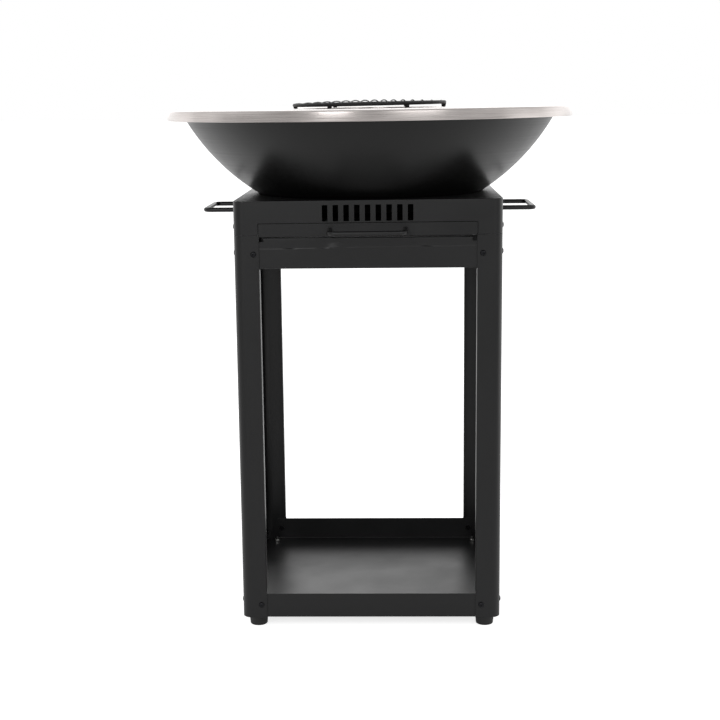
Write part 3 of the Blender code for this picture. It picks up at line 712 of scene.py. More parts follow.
# %% Front apron
APRON_LOW, APRON_TOP = 0.7035, 0.7615
NOTCH_END, FOLD_END = 0.2035, 0.1935
NOTCH_DEEP = 0.008
STEP_ROWS, FACE_ROWS = 6, 4
TOP_FOLD, LOW_FOLD = 0.0135, 0.0085
FACE_COLUMNS, END_COLUMNS = 96, 2


def apron_column(x, low_runs, high_runs):
    """The apron's face at one place along it: flat, a step in an S shape, then flat or leaning back."""
    step, deep = crease_height(x), step_depth(x)
    smear = SMEAR_DEEP * math.exp(-(((x - SMEAR_X) / SMEAR_WIDTH) ** 2))
    face = [(-INNER, APRON_LOW + FOLD_R)]
    for k in range(STEP_ROWS + 1):
        t = k / STEP_ROWS
        rise = t * t * (3 - 2 * t)
        face.append((-INNER + (deep - smear / 2) * rise, step + (t - 0.5) * STEP_TALL))
    low, high = Vector(face[-1]), Vector((-INNER + STEP_DEEP + smear / 4, APRON_TOP - NOTCH_DEEP))
    face += [tuple(low.lerp(high, k / FACE_ROWS)) for k in range(1, FACE_ROWS + 1)]
    return low_runs + face + high_runs


def front_apron_blank():
    """Outer skin of the front apron, in spans that do or don't have the folds."""
    back = -INNER + PANEL_T
    set_back = -INNER + STEP_DEEP
    low = [(back + LOW_FOLD, APRON_LOW), (-INNER, APRON_LOW), (-INNER, APRON_TOP)]
    high = [(set_back, APRON_LOW), (set_back, APRON_TOP), (back + TOP_FOLD, APRON_TOP)]
    folded = (whole(bend_corners(low, [FOLD_R]))[:-2], whole(bend_corners(high, [FOLD_R]))[1:])
    notched = ([(-INNER, APRON_LOW)], [])
    tab = ([(-INNER, APRON_LOW)], [(set_back, APRON_TOP - FOLD_R), (set_back, APRON_TOP)])
    bm = bmesh.new()
    spans = (
        (-PANEL_END, -NOTCH_END, END_COLUMNS, tab),
        (-NOTCH_END, -FOLD_END, 1, notched),
        (-FOLD_END, FOLD_END, FACE_COLUMNS, folded),
        (FOLD_END, NOTCH_END, 1, notched),
        (NOTCH_END, PANEL_END, END_COLUMNS, tab),
    )
    for start, end, parts, (low_runs, high_runs) in spans:
        xs = [start + (end - start) * i / parts for i in range(parts + 1)]
        rows = []
        for x in xs:
            line = apron_column(x, list(low_runs), list(high_runs))
            rows.append([bm.verts.new((x, p[0], p[1])) for p in line])
        for left, right in zip(rows, rows[1:]):
            for i in range(len(left) - 1):
                bm.faces.new((left[i], right[i], right[i + 1], left[i + 1]))
    return bm


holes = bolt_holes([(sx * BOLT_IN, -INNER, HIGH_BOLT_Z) for sx in (-1, 1)], (0, 1, 0))
apron = finish_piece("apron_front", front_apron_blank(), "stand_paint", "stand", PANEL_T, (holes,))
print("front apron faces", len(apron.data.polygons))

# %% [markdown]
# The other three aprons are taller, since nothing slides out through them. They reach up behind the housing,
# which is bolted to them. They are alike, so one folded blank is turned to each side. The two drawer runners
# are stepped rails inside the side aprons. Their bends are hidden, so each is a plain outline carried
# straight on.

# %% Side and rear aprons, drawer runners
TALL_TOP = 0.790
HOUSING_BOLT_Z = 0.780
SHELF_Z = APRON_TOP + GAP
RAIL_RISE = 0.0097
LEDGE_Z = SHELF_Z + RAIL_RISE
RAIL_IN, RAIL_STEP = 0.186, 0.2005


def tall_apron_blank():
    """Outer skin of the right apron, folded inward along its lower edge."""
    deep = INNER - PANEL_T - LOW_FOLD
    line = whole(bend_corners([(deep, APRON_LOW), (INNER, APRON_LOW), (INNER, TALL_TOP)], [FOLD_R]))
    return strip(bmesh.new(), line, -PANEL_END, PANEL_END, axis="Y")


for turns, side_name in ((0, "right"), (1, "rear"), (2, "left")):
    places = [(INNER, sy * BOLT_IN, z) for sy in (-1, 1) for z in (HIGH_BOLT_Z, HOUSING_BOLT_Z)]
    blank = tall_apron_blank()
    bmesh.ops.reverse_faces(blank, faces=blank.faces)
    finish_piece(
        "apron_" + side_name, blank, "stand_paint", "stand", PANEL_T, (bolt_holes(places, (1, 0, 0)),),
        place=Matrix.Rotation(turns * math.pi / 2, 4, "Z"),
    )


def runner_section():
    """Outline of the right runner's cross-section: shelf under the pan, riser, ledge and side."""
    outer = INNER - PANEL_T - GAP
    t = PANEL_T
    section = [(RAIL_IN, SHELF_Z), (RAIL_STEP + t, SHELF_Z), (RAIL_STEP + t, LEDGE_Z - t)]
    section += [(outer, LEDGE_Z - t), (outer, TALL_TOP), (outer - t, TALL_TOP), (outer - t, LEDGE_Z)]
    return section + [(RAIL_STEP, LEDGE_Z), (RAIL_STEP, SHELF_Z + t), (RAIL_IN, SHELF_Z + t)]


for side_name, sx in (("left", -1), ("right", 1)):
    outline = [(sx * u, v) for u, v in runner_section()]
    rail = closed(prism(bmesh.new(), outline, -PANEL_END, PANEL_END, axis="Y"))
    places = [(sx * (INNER - PANEL_T - GAP), sy * BOLT_IN, HOUSING_BOLT_Z) for sy in (-1, 1)]
    holes = bolt_holes(places, (1, 0, 0))
    runner = finish_piece("drawer_runner_" + side_name, rail, "stand_paint", "stand", cutters=(holes,))
print("aprons and runners made, a runner has", len(runner.data.polygons), "faces")

# %% [markdown]
# The housing is the box that carries the bowl. It is pressed from one sheet, so its corners follow the legs'
# 18 mm bend and its top edge is a round of 3 mm. Folding it as a strip would leave the three-way corners
# open. Cutting it is simpler. A solid block is hollowed from below, and this block is the outside.

# %% Block of the housing
HOUSING_LOW, HOUSING_TOP = 0.766, 0.830
HOUSING_TOP_R, CORNER_STEPS = 0.003, 14


def housing_block():
    """The block that the housing is cut from, with its top edge rounded."""
    outline = rounded_rectangle(HALF, HALF, CORNER_BEND, CORNER_STEPS)
    bm = prism(bmesh.new(), outline, HOUSING_LOW, HOUSING_TOP)
    rim = [e for e in bm.edges if all(v.co.z > HOUSING_TOP - GAP for v in e.verts)]
    bmesh.ops.bevel(bm, geom=rim, offset=HOUSING_TOP_R, segments=5, profile=0.5, affect="EDGES")
    return closed(bm)


print("the housing is", round((HOUSING_TOP - HOUSING_LOW) / MM, 1), "mm high")

# %% [markdown]
# The cutters are the hollow, the round seat, the drawer's opening and the nine vents, which a laser cuts in
# the real sheet. The seat is where the bowl's sphere meets the top, with 0.5 mm to spare. The bolts and
# handles don't lean with the housing, so its holes for them are a little wide.

# %% Housing
BOWL_R, BOWL_CENTRE_Z, SEAT_ROOM = 0.421, 1.1875, 0.0005
SEAT_R = math.sqrt(BOWL_R**2 - (BOWL_CENTRE_Z - HOUSING_TOP) ** 2) + SEAT_ROOM
CUT_PAST = 0.01
WIDE_HOLE_R = 0.0042
SIDE_HANDLE_HALF, SIDE_HANDLE_Z = 0.080, 0.801
VENTS, VENT_HALF, VENT_LOW, VENT_TOP, VENT_PITCH, VENT_R = 9, 0.005, 0.7918, 0.8216, 0.0198, 0.0008
DRAWER_WAY_HALF, DRAWER_WAY_TOP, DRAWER_WAY_R = 0.2035, 0.7890, 0.0005
WAY_HALF_TALL = 0.017


def housing_cutters():
    """The hollow, the bowl's seat, the drawer's way out, the vents and the holes for bolts and handles."""
    inner = rounded_rectangle(HALF - LEG_T, HALF - LEG_T, CORNER_BEND - LEG_T, CORNER_STEPS)
    hollow = prism(bmesh.new(), inner, HOUSING_LOW - CUT_PAST, HOUSING_TOP - LEG_T)
    seat = turned(bmesh.new(), [(SEAT_R, HOUSING_TOP - CUT_PAST), (SEAT_R, HOUSING_TOP + CUT_PAST)], 192)
    middle = (0, DRAWER_WAY_TOP - WAY_HALF_TALL)
    way = rounded_rectangle(DRAWER_WAY_HALF, WAY_HALF_TALL, DRAWER_WAY_R, 2, middle)
    drawer_way = prism(bmesh.new(), way, -HALF - CUT_PAST, -HALF + CUT_PAST, axis="Y")
    vents = bmesh.new()
    for i in range(VENTS):
        middle = ((i - VENTS // 2) * VENT_PITCH, (VENT_LOW + VENT_TOP) / 2)
        slot_line = rounded_rectangle(VENT_HALF, (VENT_TOP - VENT_LOW) / 2, VENT_R, 3, middle)
        prism(vents, slot_line, -HALF - CUT_PAST, -HALF + CUT_PAST, axis="Y")
    side = [(sx * HALF, sy * BOLT_IN, HOUSING_BOLT_Z) for sx in (-1, 1) for sy in (-1, 1)]
    side += [(sx * HALF, sy * SIDE_HANDLE_HALF, SIDE_HANDLE_Z) for sx in (-1, 1) for sy in (-1, 1)]
    rear = [(sx * BOLT_IN, HALF, HOUSING_BOLT_Z) for sx in (-1, 1)]
    holes = bolt_holes(side, (1, 0, 0), WIDE_HOLE_R), bolt_holes(rear, (0, 1, 0), WIDE_HOLE_R)
    return hollow, seat, drawer_way, vents, *holes


housing = finish_piece(
    "housing", housing_block(), "stand_paint", "stand", cutters=housing_cutters(), lean_from=HOUSING_LOW
)
print("housing faces", len(housing.data.polygons))

# %% [markdown]
# Button-head screws hold the stand together, each with a nut inside. The head is a low dome with a hexagon
# socket, and the nut's corners are turned off at an angle, as all bought nuts are. A head could be cut from a
# ball with a hexagon tool. Here screw and nut are one turned shape, in which some levels are hexagons,
# because that stays clean at this size.

# %% Screws and nuts
M6_R, TIP_R = 0.003, 0.0027
SOCKET = [(0.0023, 0.0014, "hex"), (0.0023, 0.0031, "hex")]
DOME = [(0.0028, 0.0032), (0.0033, 0.0032), (0.0042, 0.0028), (0.0049, 0.0021), (0.0054, 0.0012)]
HEAD_EDGE = [(0.0055, 0.0007), (0.0054, GAP)]
NUT_CORNER, NUT_H = 0.00577, 0.005
NUT_SHOULDER = 0.0006


def nut_profile(low, high):
    """Outside of a nut between two heights, with its chamfered corners."""
    step = NUT_SHOULDER if high > low else -NUT_SHOULDER
    flat_r = NUT_CORNER * math.cos(math.pi / 6)
    return [(flat_r, low), (NUT_CORNER, low + step, "hex"), (NUT_CORNER, high - step, "hex"), (flat_r, high)]


def screw_profile(grip):
    """From the socket's floor over the head, down the shank, round the nut and out to the tip."""
    nut_top, nut_end = -grip - GAP, -grip - GAP - NUT_H
    profile = SOCKET + DOME + HEAD_EDGE + [(M6_R, GAP), (M6_R, nut_top)] + nut_profile(nut_top, nut_end)
    return profile + [(TIP_R, nut_end), (TIP_R, nut_end - 0.0001)]


def make_screw(node, direction, place, grip):
    """A screw with its nut, its head facing along a direction, through sheets of a total thickness."""
    bm = turned(bmesh.new(), screw_profile(grip), 24, lay_along(direction, place))
    return finish_piece(node, closed(bm), "fastener", "stand", edge=0)


grip = LEG_T + GAP + PANEL_T
for corner_name, sx, sy in CORNERS:
    for row_name, z in (("lower", LOW_BOLT_Z), ("upper", HIGH_BOLT_Z)):
        make_screw(f"{row_name}_bolt_{corner_name}_face", (0, sy, 0), (sx * BOLT_IN, sy * HALF, z), grip)
        make_screw(f"{row_name}_bolt_{corner_name}_side", (sx, 0, 0), (sx * HALF, sy * BOLT_IN, z), grip)
    place = (sx * HALF, sy * BOLT_IN, HOUSING_BOLT_Z)
    make_screw(f"housing_bolt_{corner_name}_side", (sx, 0, 0), place, grip + GAP + PANEL_T)
for side_name, sx in (("left", -1), ("right", 1)):
    place = (sx * BOLT_IN, HALF, HOUSING_BOLT_Z)
    screw = make_screw(f"housing_bolt_rear_{side_name}", (0, 1, 0), place, grip)
print("a screw is", len(screw.data.polygons), "faces")

# %% [markdown]
# The feet are moulded plugs, slightly wider at the top, with a rounded base and a steel stud that passes
# through the tray's floor into a nut. They are round, so turning a section is all it takes. A loose nut is a
# turned ring: out along its bottom, up its hexagon, and back down the bore. The nuts on the feet then get
# their bright zinc.

# %% Feet and loose nuts
FOOT_TOP = TRAY_LOW - GAP
FOOT_SOLE_R, FOOT_BASE_R, FOOT_BASE_ROUND = 0.0145, 0.0168, 0.002
FOOT_NECK_R, FOOT_RIM_TALL = 0.0180, 0.0046
FOOT_FACE_R, FOOT_TOP_R, FOOT_TOP_ROUND = 0.0165, 0.0185, 0.0008
STUD_SIDE_TOP, STUD_TOP, STUD_TOP_R = 0.0325, 0.0334, 0.0025
BORE_CHAMFER = 0.0004


def loose_nut(node, direction, place):
    """A nut on its own, standing on a place and pointing along a direction."""
    bore, wide = M6_R + GAP, M6_R + GAP + BORE_CHAMFER
    profile = nut_profile(0, NUT_H)
    profile += [(wide, NUT_H), (bore, NUT_H - BORE_CHAMFER), (bore, BORE_CHAMFER), (wide, 0)]
    bm = turned(bmesh.new(), profile, 24, lay_along(direction, place), ring=True)
    return finish_piece(node, closed(bm), "fastener", "stand", edge=0)


foot_side = [(FOOT_SOLE_R, 0.0)]
foot_side += arc((FOOT_BASE_R - FOOT_BASE_ROUND, FOOT_BASE_ROUND), FOOT_BASE_ROUND, 270, 354, 6)
foot_side += [(FOOT_NECK_R, FOOT_TOP - FOOT_RIM_TALL)]
foot_side += arc((FOOT_TOP_R - FOOT_TOP_ROUND, FOOT_TOP - FOOT_TOP_ROUND), FOOT_TOP_ROUND, 0, 80, 4)
foot_side += [(FOOT_FACE_R, FOOT_TOP), (M6_R, FOOT_TOP), (M6_R, STUD_SIDE_TOP), (STUD_TOP_R, STUD_TOP)]
for corner_name, sx, sy in CORNERS:
    spot = Vector((sx * FOOT_IN, sy * FOOT_IN, 0))
    bm = turned(bmesh.new(), foot_side, 48, Matrix.Translation(spot))
    finish_piece("foot_" + corner_name, closed(bm), "foot_plastic", "stand", edge=0)
    nut = loose_nut("foot_nut_" + corner_name, (0, 0, 1), spot + Vector((0, 0, TRAY_LOW + PANEL_T + GAP)))
    nut.data.materials[0] = bright_zinc
print("a loose nut is", len(nut.data.polygons), "faces")

# %% [markdown]
# The handles are round bar, bent twice: 9 mm at the sides and 8 mm on the drawer. The side ones pass through
# the housing as thinner studs, and each stud has a nut inside. The front one is welded to the drawer, so its
# ends get a small collar of weld instead. A curve with a round bevel would make the bend too, but a sweep can
# change its radius at every point, which the studs and collars need.

# %% Handles
ROD_R, FRONT_ROD_R = 0.0045, 0.004
BAR_REACH, BAR_BEND = 0.0725, 0.012
STUD_TIP_R, STUD_TIP, STUD_PAST_NUT = 0.0024, 0.0006, 0.002


def bent_bar(half, along, outward, root, ends, radius=ROD_R):
    """Bar with two bends. Ends are (height, radius) steps from each tip up to the bar."""
    flat = [(-half, h, r) for h, r in ends]
    for side, start, end in ((-1, 180, 90), (1, 90, 0)):
        centre = (side * (half - BAR_BEND), BAR_REACH - BAR_BEND)
        flat += [(x, y, radius) for x, y in arc(centre, BAR_BEND, start, end, 12)]
    flat += [(half, h, r) for h, r in reversed(ends)]
    points = [Vector(root) + u * Vector(along) + v * Vector(outward) for u, v, _ in flat]
    return closed(swept(bmesh.new(), points, [r for _, _, r in flat], 24))


stud_end = -LEG_T - GAP - NUT_H - STUD_PAST_NUT
stud_steps = [(stud_end, STUD_TIP_R), (stud_end + STUD_TIP, M6_R), (GAP, M6_R)]
stud_steps += [(GAP + 1e-5, ROD_R), (0.004, ROD_R)]
for side_name, sx in (("left", -1), ("right", 1)):
    root = (sx * HALF, 0, SIDE_HANDLE_Z)
    bar = bent_bar(SIDE_HANDLE_HALF, (0, 1, 0), (sx, 0, 0), root, stud_steps)
    finish_piece("side_handle_" + side_name, bar, "stand_paint", "stand", edge=0)
    for end_name, sy in (("front", -1), ("rear", 1)):
        inside = (sx * (HALF - LEG_T - GAP), sy * SIDE_HANDLE_HALF, SIDE_HANDLE_Z)
        loose_nut(f"handle_nut_{side_name}_{end_name}", (-sx, 0, 0), inside)
print("side handles made")

# %% [markdown]
# The ash drawer is a shallow pan folded from one sheet, with a flat face welded on its front. The face sits
# flush with the housing, so only thin dark lines show round it. The pan's corners are pressed round, so it is
# made as a box that loses its lid, has its edges rounded and then gets its gauge. The face is a plain outline
# with a small step at each side.

# %% Ash drawer
DRAWER_LOW, DRAWER_TOP = 0.7636, 0.7882
FACE_HALF, FACE_LOW_HALF, FACE_STEP_Z = 0.2028, 0.2012, 0.7665
DRAWER_MID = (DRAWER_LOW + DRAWER_TOP) / 2
PAN_HALF, PAN_FRONT, PAN_BACK = 0.199, -0.2482, 0.2415
PAN_TOP = DRAWER_TOP - 0.002
FRONT_HANDLE_HALF = 0.070


def pan_blank():
    """Outer skin of the pan: a box without its lid, with its edges bent round."""
    bm = bmesh.new()
    outline = [(-PAN_HALF, PAN_FRONT), (PAN_HALF, PAN_FRONT), (PAN_HALF, PAN_BACK), (-PAN_HALF, PAN_BACK)]
    prism(bm, outline, DRAWER_LOW, PAN_TOP)
    closed(bm)
    lid = [f for f in bm.faces if f.normal.z > 0.9]
    bmesh.ops.delete(bm, geom=lid, context="FACES_ONLY")
    folds = [e for e in bm.edges if not e.is_boundary]
    bmesh.ops.bevel(bm, geom=folds, offset=FOLD_R, segments=4, profile=0.5, affect="EDGES")
    return bm


finish_piece("ash_drawer_pan", pan_blank(), "stand_paint", "drawer", gauge=PANEL_T)
half_line = [(FACE_LOW_HALF, DRAWER_LOW + GAP), (FACE_LOW_HALF, FACE_STEP_Z)]
half_line += [(FACE_HALF, FACE_STEP_Z), (FACE_HALF, DRAWER_TOP)]
face_line = half_line + [(-u, v) for u, v in reversed(half_line)]
face = prism(bmesh.new(), face_line, -HALF, -HALF + PANEL_T, axis="Y")
finish_piece("drawer_front", closed(face), "stand_paint", "drawer", lean_from=DRAWER_LOW - LEAN_RUN)
weld_steps = [(GAP, 0.0043), (0.0007, 0.0044), (0.0014, 0.0041), (0.002, FRONT_ROD_R), (0.006, FRONT_ROD_R)]
root = (0, -HALF, DRAWER_MID)
bar = bent_bar(FRONT_HANDLE_HALF, (1, 0, 0), (0, -1, 0), root, weld_steps, FRONT_ROD_R)
bar = finish_piece("drawer_handle", bar, "stand_paint", "drawer", edge=0, lean_from=DRAWER_LOW - LEAN_RUN)
print("drawer handle faces", len(bar.data.polygons))

# %% [markdown]
# The fire bowl is a part of a sphere, spun from 2 mm sheet, with a flat lip under the coal grate and a flange
# under the hot plate. It could be cut from a ready-made sphere, but a turned section with many steps keeps
# its outline smooth and takes in the lip and flange. The sphere's radius and centre come from the outline in
# the photograph. The bowl and all it carries lean with the housing, as a turn about the sphere's centre,
# which keeps the bowl in its round seat.

# %% Fire bowl
BOWL_T = 0.002
FLOOR_Z, RIM_Z = 0.798, 0.9917
OUTLET_R, FLANGE_R = 0.130, 0.394
SHEET_ROUND = 0.0004


def tilt_at(height, angle):
    """A sideways tilt about a point on the grill's axis."""
    middle = Vector((0, 0, height))
    return Matrix.Translation(middle) @ Matrix.Rotation(angle, 4, "Y") @ Matrix.Translation(-middle)


SEATED = tilt_at(BOWL_CENTRE_Z, -TOP_LEAN)


def on_sphere(radius, low, high, steps):
    """Points (distance from the axis, height) up a sphere about the bowl's centre, between two heights."""
    start = math.acos((BOWL_CENTRE_Z - low) / radius)
    end = math.acos((BOWL_CENTRE_Z - high) / radius)
    angles = [start + (end - start) * i / steps for i in range(steps + 1)]
    return [(radius * math.sin(a), BOWL_CENTRE_Z - radius * math.cos(a)) for a in angles]


outside = on_sphere(BOWL_R, FLOOR_Z, RIM_Z - BOWL_T, 56)
inside = on_sphere(BOWL_R - BOWL_T, FLOOR_Z + BOWL_T, RIM_Z, 56)
flange_low, floor_top = RIM_Z - BOWL_T, FLOOR_Z + BOWL_T
section = [(OUTLET_R + SHEET_ROUND, FLOOR_Z)] + outside + [(FLANGE_R - SHEET_ROUND, flange_low)]
section += [(FLANGE_R, flange_low + SHEET_ROUND), (FLANGE_R, RIM_Z - SHEET_ROUND)]
section += [(FLANGE_R - SHEET_ROUND, RIM_Z)] + inside[::-1] + [(OUTLET_R + SHEET_ROUND, floor_top)]
section += [(OUTLET_R, floor_top - SHEET_ROUND), (OUTLET_R, FLOOR_Z + SHEET_ROUND)]
shell = closed(turned(bmesh.new(), section, 192, ring=True))
bowl = finish_piece("fire_bowl", shell, "bowl_paint", "bowl", edge=0, place=SEATED)
print("bowl faces", len(bowl.data.polygons))

# %% [markdown]
# The coal grate is a cast disc with long slots. Casting needs rounded corners, or the iron cracks as it
# cools, so the slots end in half circles and every edge is rounded by about a millimetre. Cutting the slots
# from a disc and then rounding all its edges at once is the shortest way there.

# %% Coal grate
COAL_Z, COAL_R, COAL_T = FLOOR_Z + BOWL_T + GAP, 0.150, 0.006
COAL_BORDER, COAL_EDGE = 0.022, 0.0009
SLOTS, SLOT_W, SLOT_PITCH = 9, 0.014, 0.028
slots = bmesh.new()
reach = COAL_R - COAL_BORDER
for i in range(-(SLOTS // 2), SLOTS // 2 + 1):
    x = i * SLOT_PITCH
    half = math.sqrt(reach**2 - (abs(x) + SLOT_W / 2) ** 2)
    outline = rounded_rectangle(SLOT_W / 2, half, SLOT_W / 2 - 0.0001, 6, (x, 0))
    prism(slots, outline, COAL_Z - CUT_PAST, COAL_Z + COAL_T + CUT_PAST)
disc = closed(turned(bmesh.new(), [(COAL_R, COAL_Z), (COAL_R, COAL_Z + COAL_T)], 128))
coal_grate = finish_piece(
    "coal_grate", disc, "cast_grate", "coal_bed", cutters=(slots,), edge=COAL_EDGE, place=SEATED
)
print("coal grate faces", len(coal_grate.data.polygons))

# %% [markdown]
# The hot plate is a 3 mm disc with its edge turned down and a hole in the middle, where the fire comes up. It
# is turned from its section, with a smooth bend at the rim and a small round at each cut edge. A disc with a
# bevel would look the same from above, but its turned-down edge would have no inside.

# %% Hot plate
PLATE_R, PLATE_TOP, PLATE_T, PLATE_RIM = 0.400, 0.995, 0.003, 0.0196
PLATE_BEND, PLATE_INNER_BEND, PLATE_HOLE_R = 0.004, 0.001, 0.138
CUT_ROUND = 0.0006
RINGS_BETWEEN = (0.20, 0.27, 0.34)
under = PLATE_TOP - PLATE_T
low = PLATE_TOP - PLATE_RIM
section = arc((PLATE_HOLE_R + CUT_ROUND, PLATE_TOP - CUT_ROUND), CUT_ROUND, 180, 90, 3)
section += [(radius, PLATE_TOP) for radius in RINGS_BETWEEN]
section += arc((PLATE_R - PLATE_BEND, PLATE_TOP - PLATE_BEND), PLATE_BEND, 90, 0, 10)
section += arc((PLATE_R - CUT_ROUND, low + CUT_ROUND), CUT_ROUND, 0, -90, 3)
section += arc((PLATE_R - PLATE_T + CUT_ROUND, low + CUT_ROUND), CUT_ROUND, 270, 180, 3)
section += arc((PLATE_R - PLATE_T - PLATE_INNER_BEND, under - PLATE_INNER_BEND), PLATE_INNER_BEND, 0, 90, 4)
section += [(radius, under) for radius in reversed(RINGS_BETWEEN)]
section += arc((PLATE_HOLE_R + CUT_ROUND, under + CUT_ROUND), CUT_ROUND, 270, 180, 3)
disc = closed(turned(bmesh.new(), section, 256, ring=True))
plate = finish_piece("plancha_plate", disc, "plate_steel", "plancha", edge=0, place=SEATED)
print("hot plate faces", len(plate.data.polygons))

# %% [markdown]
# The cooking grate stands over the hole: a wire ring, thin rods welded across its top, and six short tapered
# feet under it. The rods form a low dome of 4 mm and are turned a little from straight ahead, so from the
# front they show as short slanted strokes over the ring. The ring itself stands half a degree higher on the
# right. Rods and ring stay separate shapes that run into each other, as welded wire does. The feet are a
# second piece, because they stay upright on the plate while the ring leans.

# %% Cooking grate
RING_R, RING_Z, WIRE_R = 0.1495, 1.0030, 0.0033
BARS, BAR_R, BAR_PITCH, BAR_Z = 16, 0.0012, 0.019, 1.0056
BAR_CROWN, BAR_TIP = 0.0042, 0.6
GRATE_TURN, GRATE_LEAN = math.radians(-2.5), math.radians(-0.5)
GRATE_FEET, FOOT_RING_R = 6, 0.1475
PEG_SOLE_R, PEG_LOW_R, PEG_TOP_R, PEG_ROUND = 0.0036, 0.0040, 0.0050, 0.0005
turn_round = Matrix.Rotation(GRATE_TURN, 4, "Z")
uneven = tilt_at(RING_Z, GRATE_LEAN)
wire = bmesh.new()
turned(wire, [(RING_R + x, RING_Z + z) for x, z in arc((0, 0), WIRE_R, 0, 342, 19)], 192, ring=True)
for i in range(BARS):
    x = (i - (BARS - 1) / 2) * BAR_PITCH
    half = math.sqrt(RING_R**2 - x**2)
    ys = [half * math.sin(math.pi / 2 * k / 10) for k in range(-10, 11)]
    line = [turn_round @ Vector((x, y, BAR_Z + BAR_CROWN * (1 - (x * x + y * y) / RING_R**2))) for y in ys]
    swept(wire, line, [BAR_R * BAR_TIP] + [BAR_R] * (len(line) - 2) + [BAR_R * BAR_TIP], 16)
finish_piece("cooking_grate", closed(wire), "grate_wire", "top_grate", edge=0, place=SEATED @ uneven)
feet = bmesh.new()
for i in range(GRATE_FEET):
    angle = i * 2 * math.pi / GRATE_FEET
    x, y = FOOT_RING_R * math.cos(angle), FOOT_RING_R * math.sin(angle)
    sole = PLATE_TOP + GAP
    peg = [(PEG_SOLE_R, sole), (PEG_LOW_R, sole + PEG_ROUND), (PEG_TOP_R, RING_Z)]
    turned(feet, peg, 24, Matrix.Translation((x, y, 0)))
finish_piece(
    "cooking_grate_feet", closed(feet), "grate_wire", "top_grate", edge=0, place=SEATED, stands_in=False
)
print("pieces made", len(made))

# %% [markdown]
# The grill stands on a pale floor in plain white light. The floor is only a little darker than white, so its
# own shadow still shows. A glow seen by the camera alone lifts it to white without putting more light on the
# grill. Reflections see a second glow, which grows toward the back, where a studio washes its background with
# light. A curved backdrop is the usual way, but a very wide flat floor looks the same from every side.

# %% Floor
CAMERA_GLOW, REAR_GLOW = 0.75, 0.6
floor_paint = bpy.data.materials.new("pale_studio_floor")
floor_paint.use_nodes = True
tree = floor_paint.node_tree
tree.nodes.clear()
ray = add(tree, "ShaderNodeLightPath")
seen = {0: ray.outputs["Is Camera Ray"], 1: CAMERA_GLOW}
by_camera = add(tree, "ShaderNodeMath", seen, operation="MULTIPLY").outputs[0]
where = add(tree, "ShaderNodeNewGeometry").outputs["Position"]
depth = add(tree, "ShaderNodeSeparateXYZ", {"Vector": where}).outputs["Y"]
toward_rear = {"Value": depth, "From Min": -1.2, "From Max": 1.0, "To Min": 0.0, "To Max": REAR_GLOW}
wash = add(tree, "ShaderNodeMapRange", toward_rear, interpolation_type="SMOOTHSTEP").outputs[0]
mirrored = {0: ray.outputs["Is Glossy Ray"], 1: wash}
by_gloss = add(tree, "ShaderNodeMath", mirrored, operation="MULTIPLY").outputs[0]
glow = add(tree, "ShaderNodeMath", {0: by_camera, 1: by_gloss}, operation="ADD")
shine = add(tree, "ShaderNodeEmission", {"Strength": glow.outputs[0]})
matt = add(tree, "ShaderNodeBsdfDiffuse", {"Color": to_linear("#e8e8e8")})
total = add(tree, "ShaderNodeAddShader", {0: matt.outputs[0], 1: shine.outputs[0]})
add(tree, "ShaderNodeOutputMaterial", {"Surface": total.outputs[0]})
bm = bmesh.new()
bmesh.ops.create_grid(bm, x_segments=4, y_segments=4, size=60)
floor = as_object("studio_floor", bm)
floor.data.materials.append(floor_paint)
print("floor reaches", max(floor.dimensions), "m")

# %% [markdown]
# The studio is a white room, brighter behind the grill than in front and darker overhead. A picture of a real
# studio could light it, but a few ramps by direction do the same job and leave no shapes to recognise in the
# steel. The camera itself sees plain white.

# %% Room
world = bpy.data.worlds.new("white_room")
bpy.context.scene.world = world
world.use_nodes = True
tree = world.node_tree
tree.nodes.clear()
ray = add(tree, "ShaderNodeLightPath")
heading = add(tree, "ShaderNodeTexCoord").outputs["Generated"]
parts = add(tree, "ShaderNodeSeparateXYZ", {"Vector": heading})
room = {"Value": parts.outputs["Y"], "From Min": -1.0, "From Max": 0.0, "To Min": 0.45, "To Max": 1.05}
sides = add(tree, "ShaderNodeMapRange", room, interpolation_type="SMOOTHSTEP").outputs[0]
behind = {"Value": parts.outputs["Y"], "From Min": 0.7, "From Max": 0.95, "To Min": 0.0, "To Max": 1.0}
back_wall = add(tree, "ShaderNodeMapRange", behind, interpolation_type="SMOOTHSTEP").outputs[0]
walls = add(tree, "ShaderNodeMath", {0: sides, 1: back_wall}, operation="ADD").outputs[0]
overhead = {"Value": parts.outputs["Z"], "From Min": 0.5, "From Max": 0.9, "To Min": 1.0, "To Max": 0.5}
ceiling = add(tree, "ShaderNodeMapRange", overhead, interpolation_type="SMOOTHSTEP").outputs[0]
level = add(tree, "ShaderNodeMath", {0: walls, 1: ceiling}, operation="MULTIPLY").outputs[0]
strength = add(tree, "ShaderNodeMix", {0: ray.outputs["Is Camera Ray"], 2: level, 3: 1.0}).outputs[0]
air = add(tree, "ShaderNodeBackground", {"Color": (1, 1, 1, 1), "Strength": strength})
add(tree, "ShaderNodeOutputWorld", {"Surface": air.outputs[0]})
print("the room has", len(tree.nodes), "nodes")

# %% [markdown]
# Soft panels give the highlights. They are area lights, since small or distant lamps would draw hard points
# on the gloss. The one to the left of the camera puts the bright patch on the plate's rim, and a weaker one
# stands to the right. A low one at the right side widens the highlight down the right legs. The others fill
# in from above and behind.

# %% Light panels


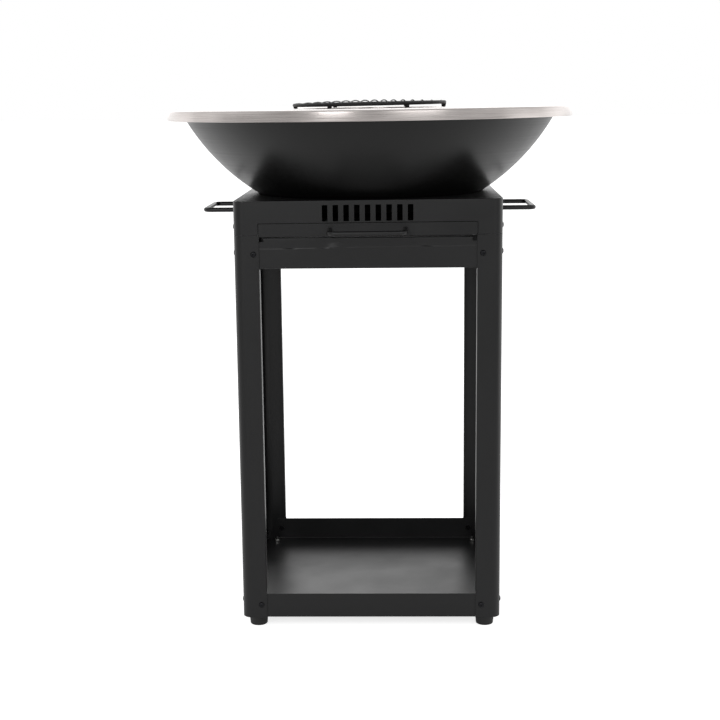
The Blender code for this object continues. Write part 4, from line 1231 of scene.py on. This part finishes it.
def panel(name, place, size, watts, aim=(0, 0, 0.75)):
    """A soft light panel of a width and height, turned to face a point on the grill."""
    light = bpy.data.lights.new(name, "AREA")
    light.shape, light.size, light.size_y, light.energy = "RECTANGLE", size[0], size[1], watts
    lamp = bpy.data.objects.new(name, light)
    bpy.context.scene.collection.objects.link(lamp)
    lamp.location = place
    lamp.rotation_mode = "QUATERNION"
    lamp.rotation_quaternion = (Vector(aim) - Vector(place)).to_track_quat("-Z", "Y")
    return lamp


panels = [
    panel("left_panel", (-0.9, -2.9, 1.9), (0.8, 1.6), 22),
    panel("right_panel", (1.3, -2.7, 1.9), (1.4, 1.6), 17),
    panel("top_panel", (0.0, 0.0, 3.2), (3.0, 3.0), 8),
    panel("low_right_panel", (2.6, 0.0, 0.35), (1.2, 0.6), 2, (0, 0, 0.5)),
    panel("left_rear_panel", (-3.6, 2.4, 1.4), (2.0, 2.6), 8),
    panel("right_rear_panel", (3.6, 2.4, 1.4), (2.0, 2.6), 8),
]
print(len(panels), "panels in place")

# %% [markdown]
# The camera stands where the photograph was taken from. Its place and angle were worked out from the grill's
# edges in the photograph. A camera could be aimed with a constraint, but this one also leans by half a
# degree, so it is turned by its three axes.

# %% Camera
FOCAL_MM, SENSOR_MM = 70.0894, 36
CAMERA_PLACE = (0.050488, -2.836379, 1.019645)
lens = bpy.data.cameras.new("photo_camera")
lens.sensor_width = SENSOR_MM
lens.lens = FOCAL_MM
lens.clip_end = 200
camera = bpy.data.objects.new("photo_camera", lens)
bpy.context.scene.collection.objects.link(camera)
YAW, PITCH, LEAN = -0.02599, 0.18671, -0.010281
ahead = Vector((math.sin(YAW) * math.cos(PITCH), math.cos(YAW) * math.cos(PITCH), -math.sin(PITCH)))
level_right = Vector((math.cos(YAW), -math.sin(YAW), 0))
level_up = level_right.cross(ahead)
right = math.cos(LEAN) * level_right + math.sin(LEAN) * level_up
up = -math.sin(LEAN) * level_right + math.cos(LEAN) * level_up
camera.rotation_mode = "QUATERNION"
camera.rotation_quaternion = Matrix((right, up, -ahead)).transposed().to_quaternion()
camera.location = CAMERA_PLACE
bpy.context.scene.camera = camera
bpy.context.scene.view_settings.view_transform = "Standard"
print("camera looks along", tuple(round(v, 3) for v in ahead))
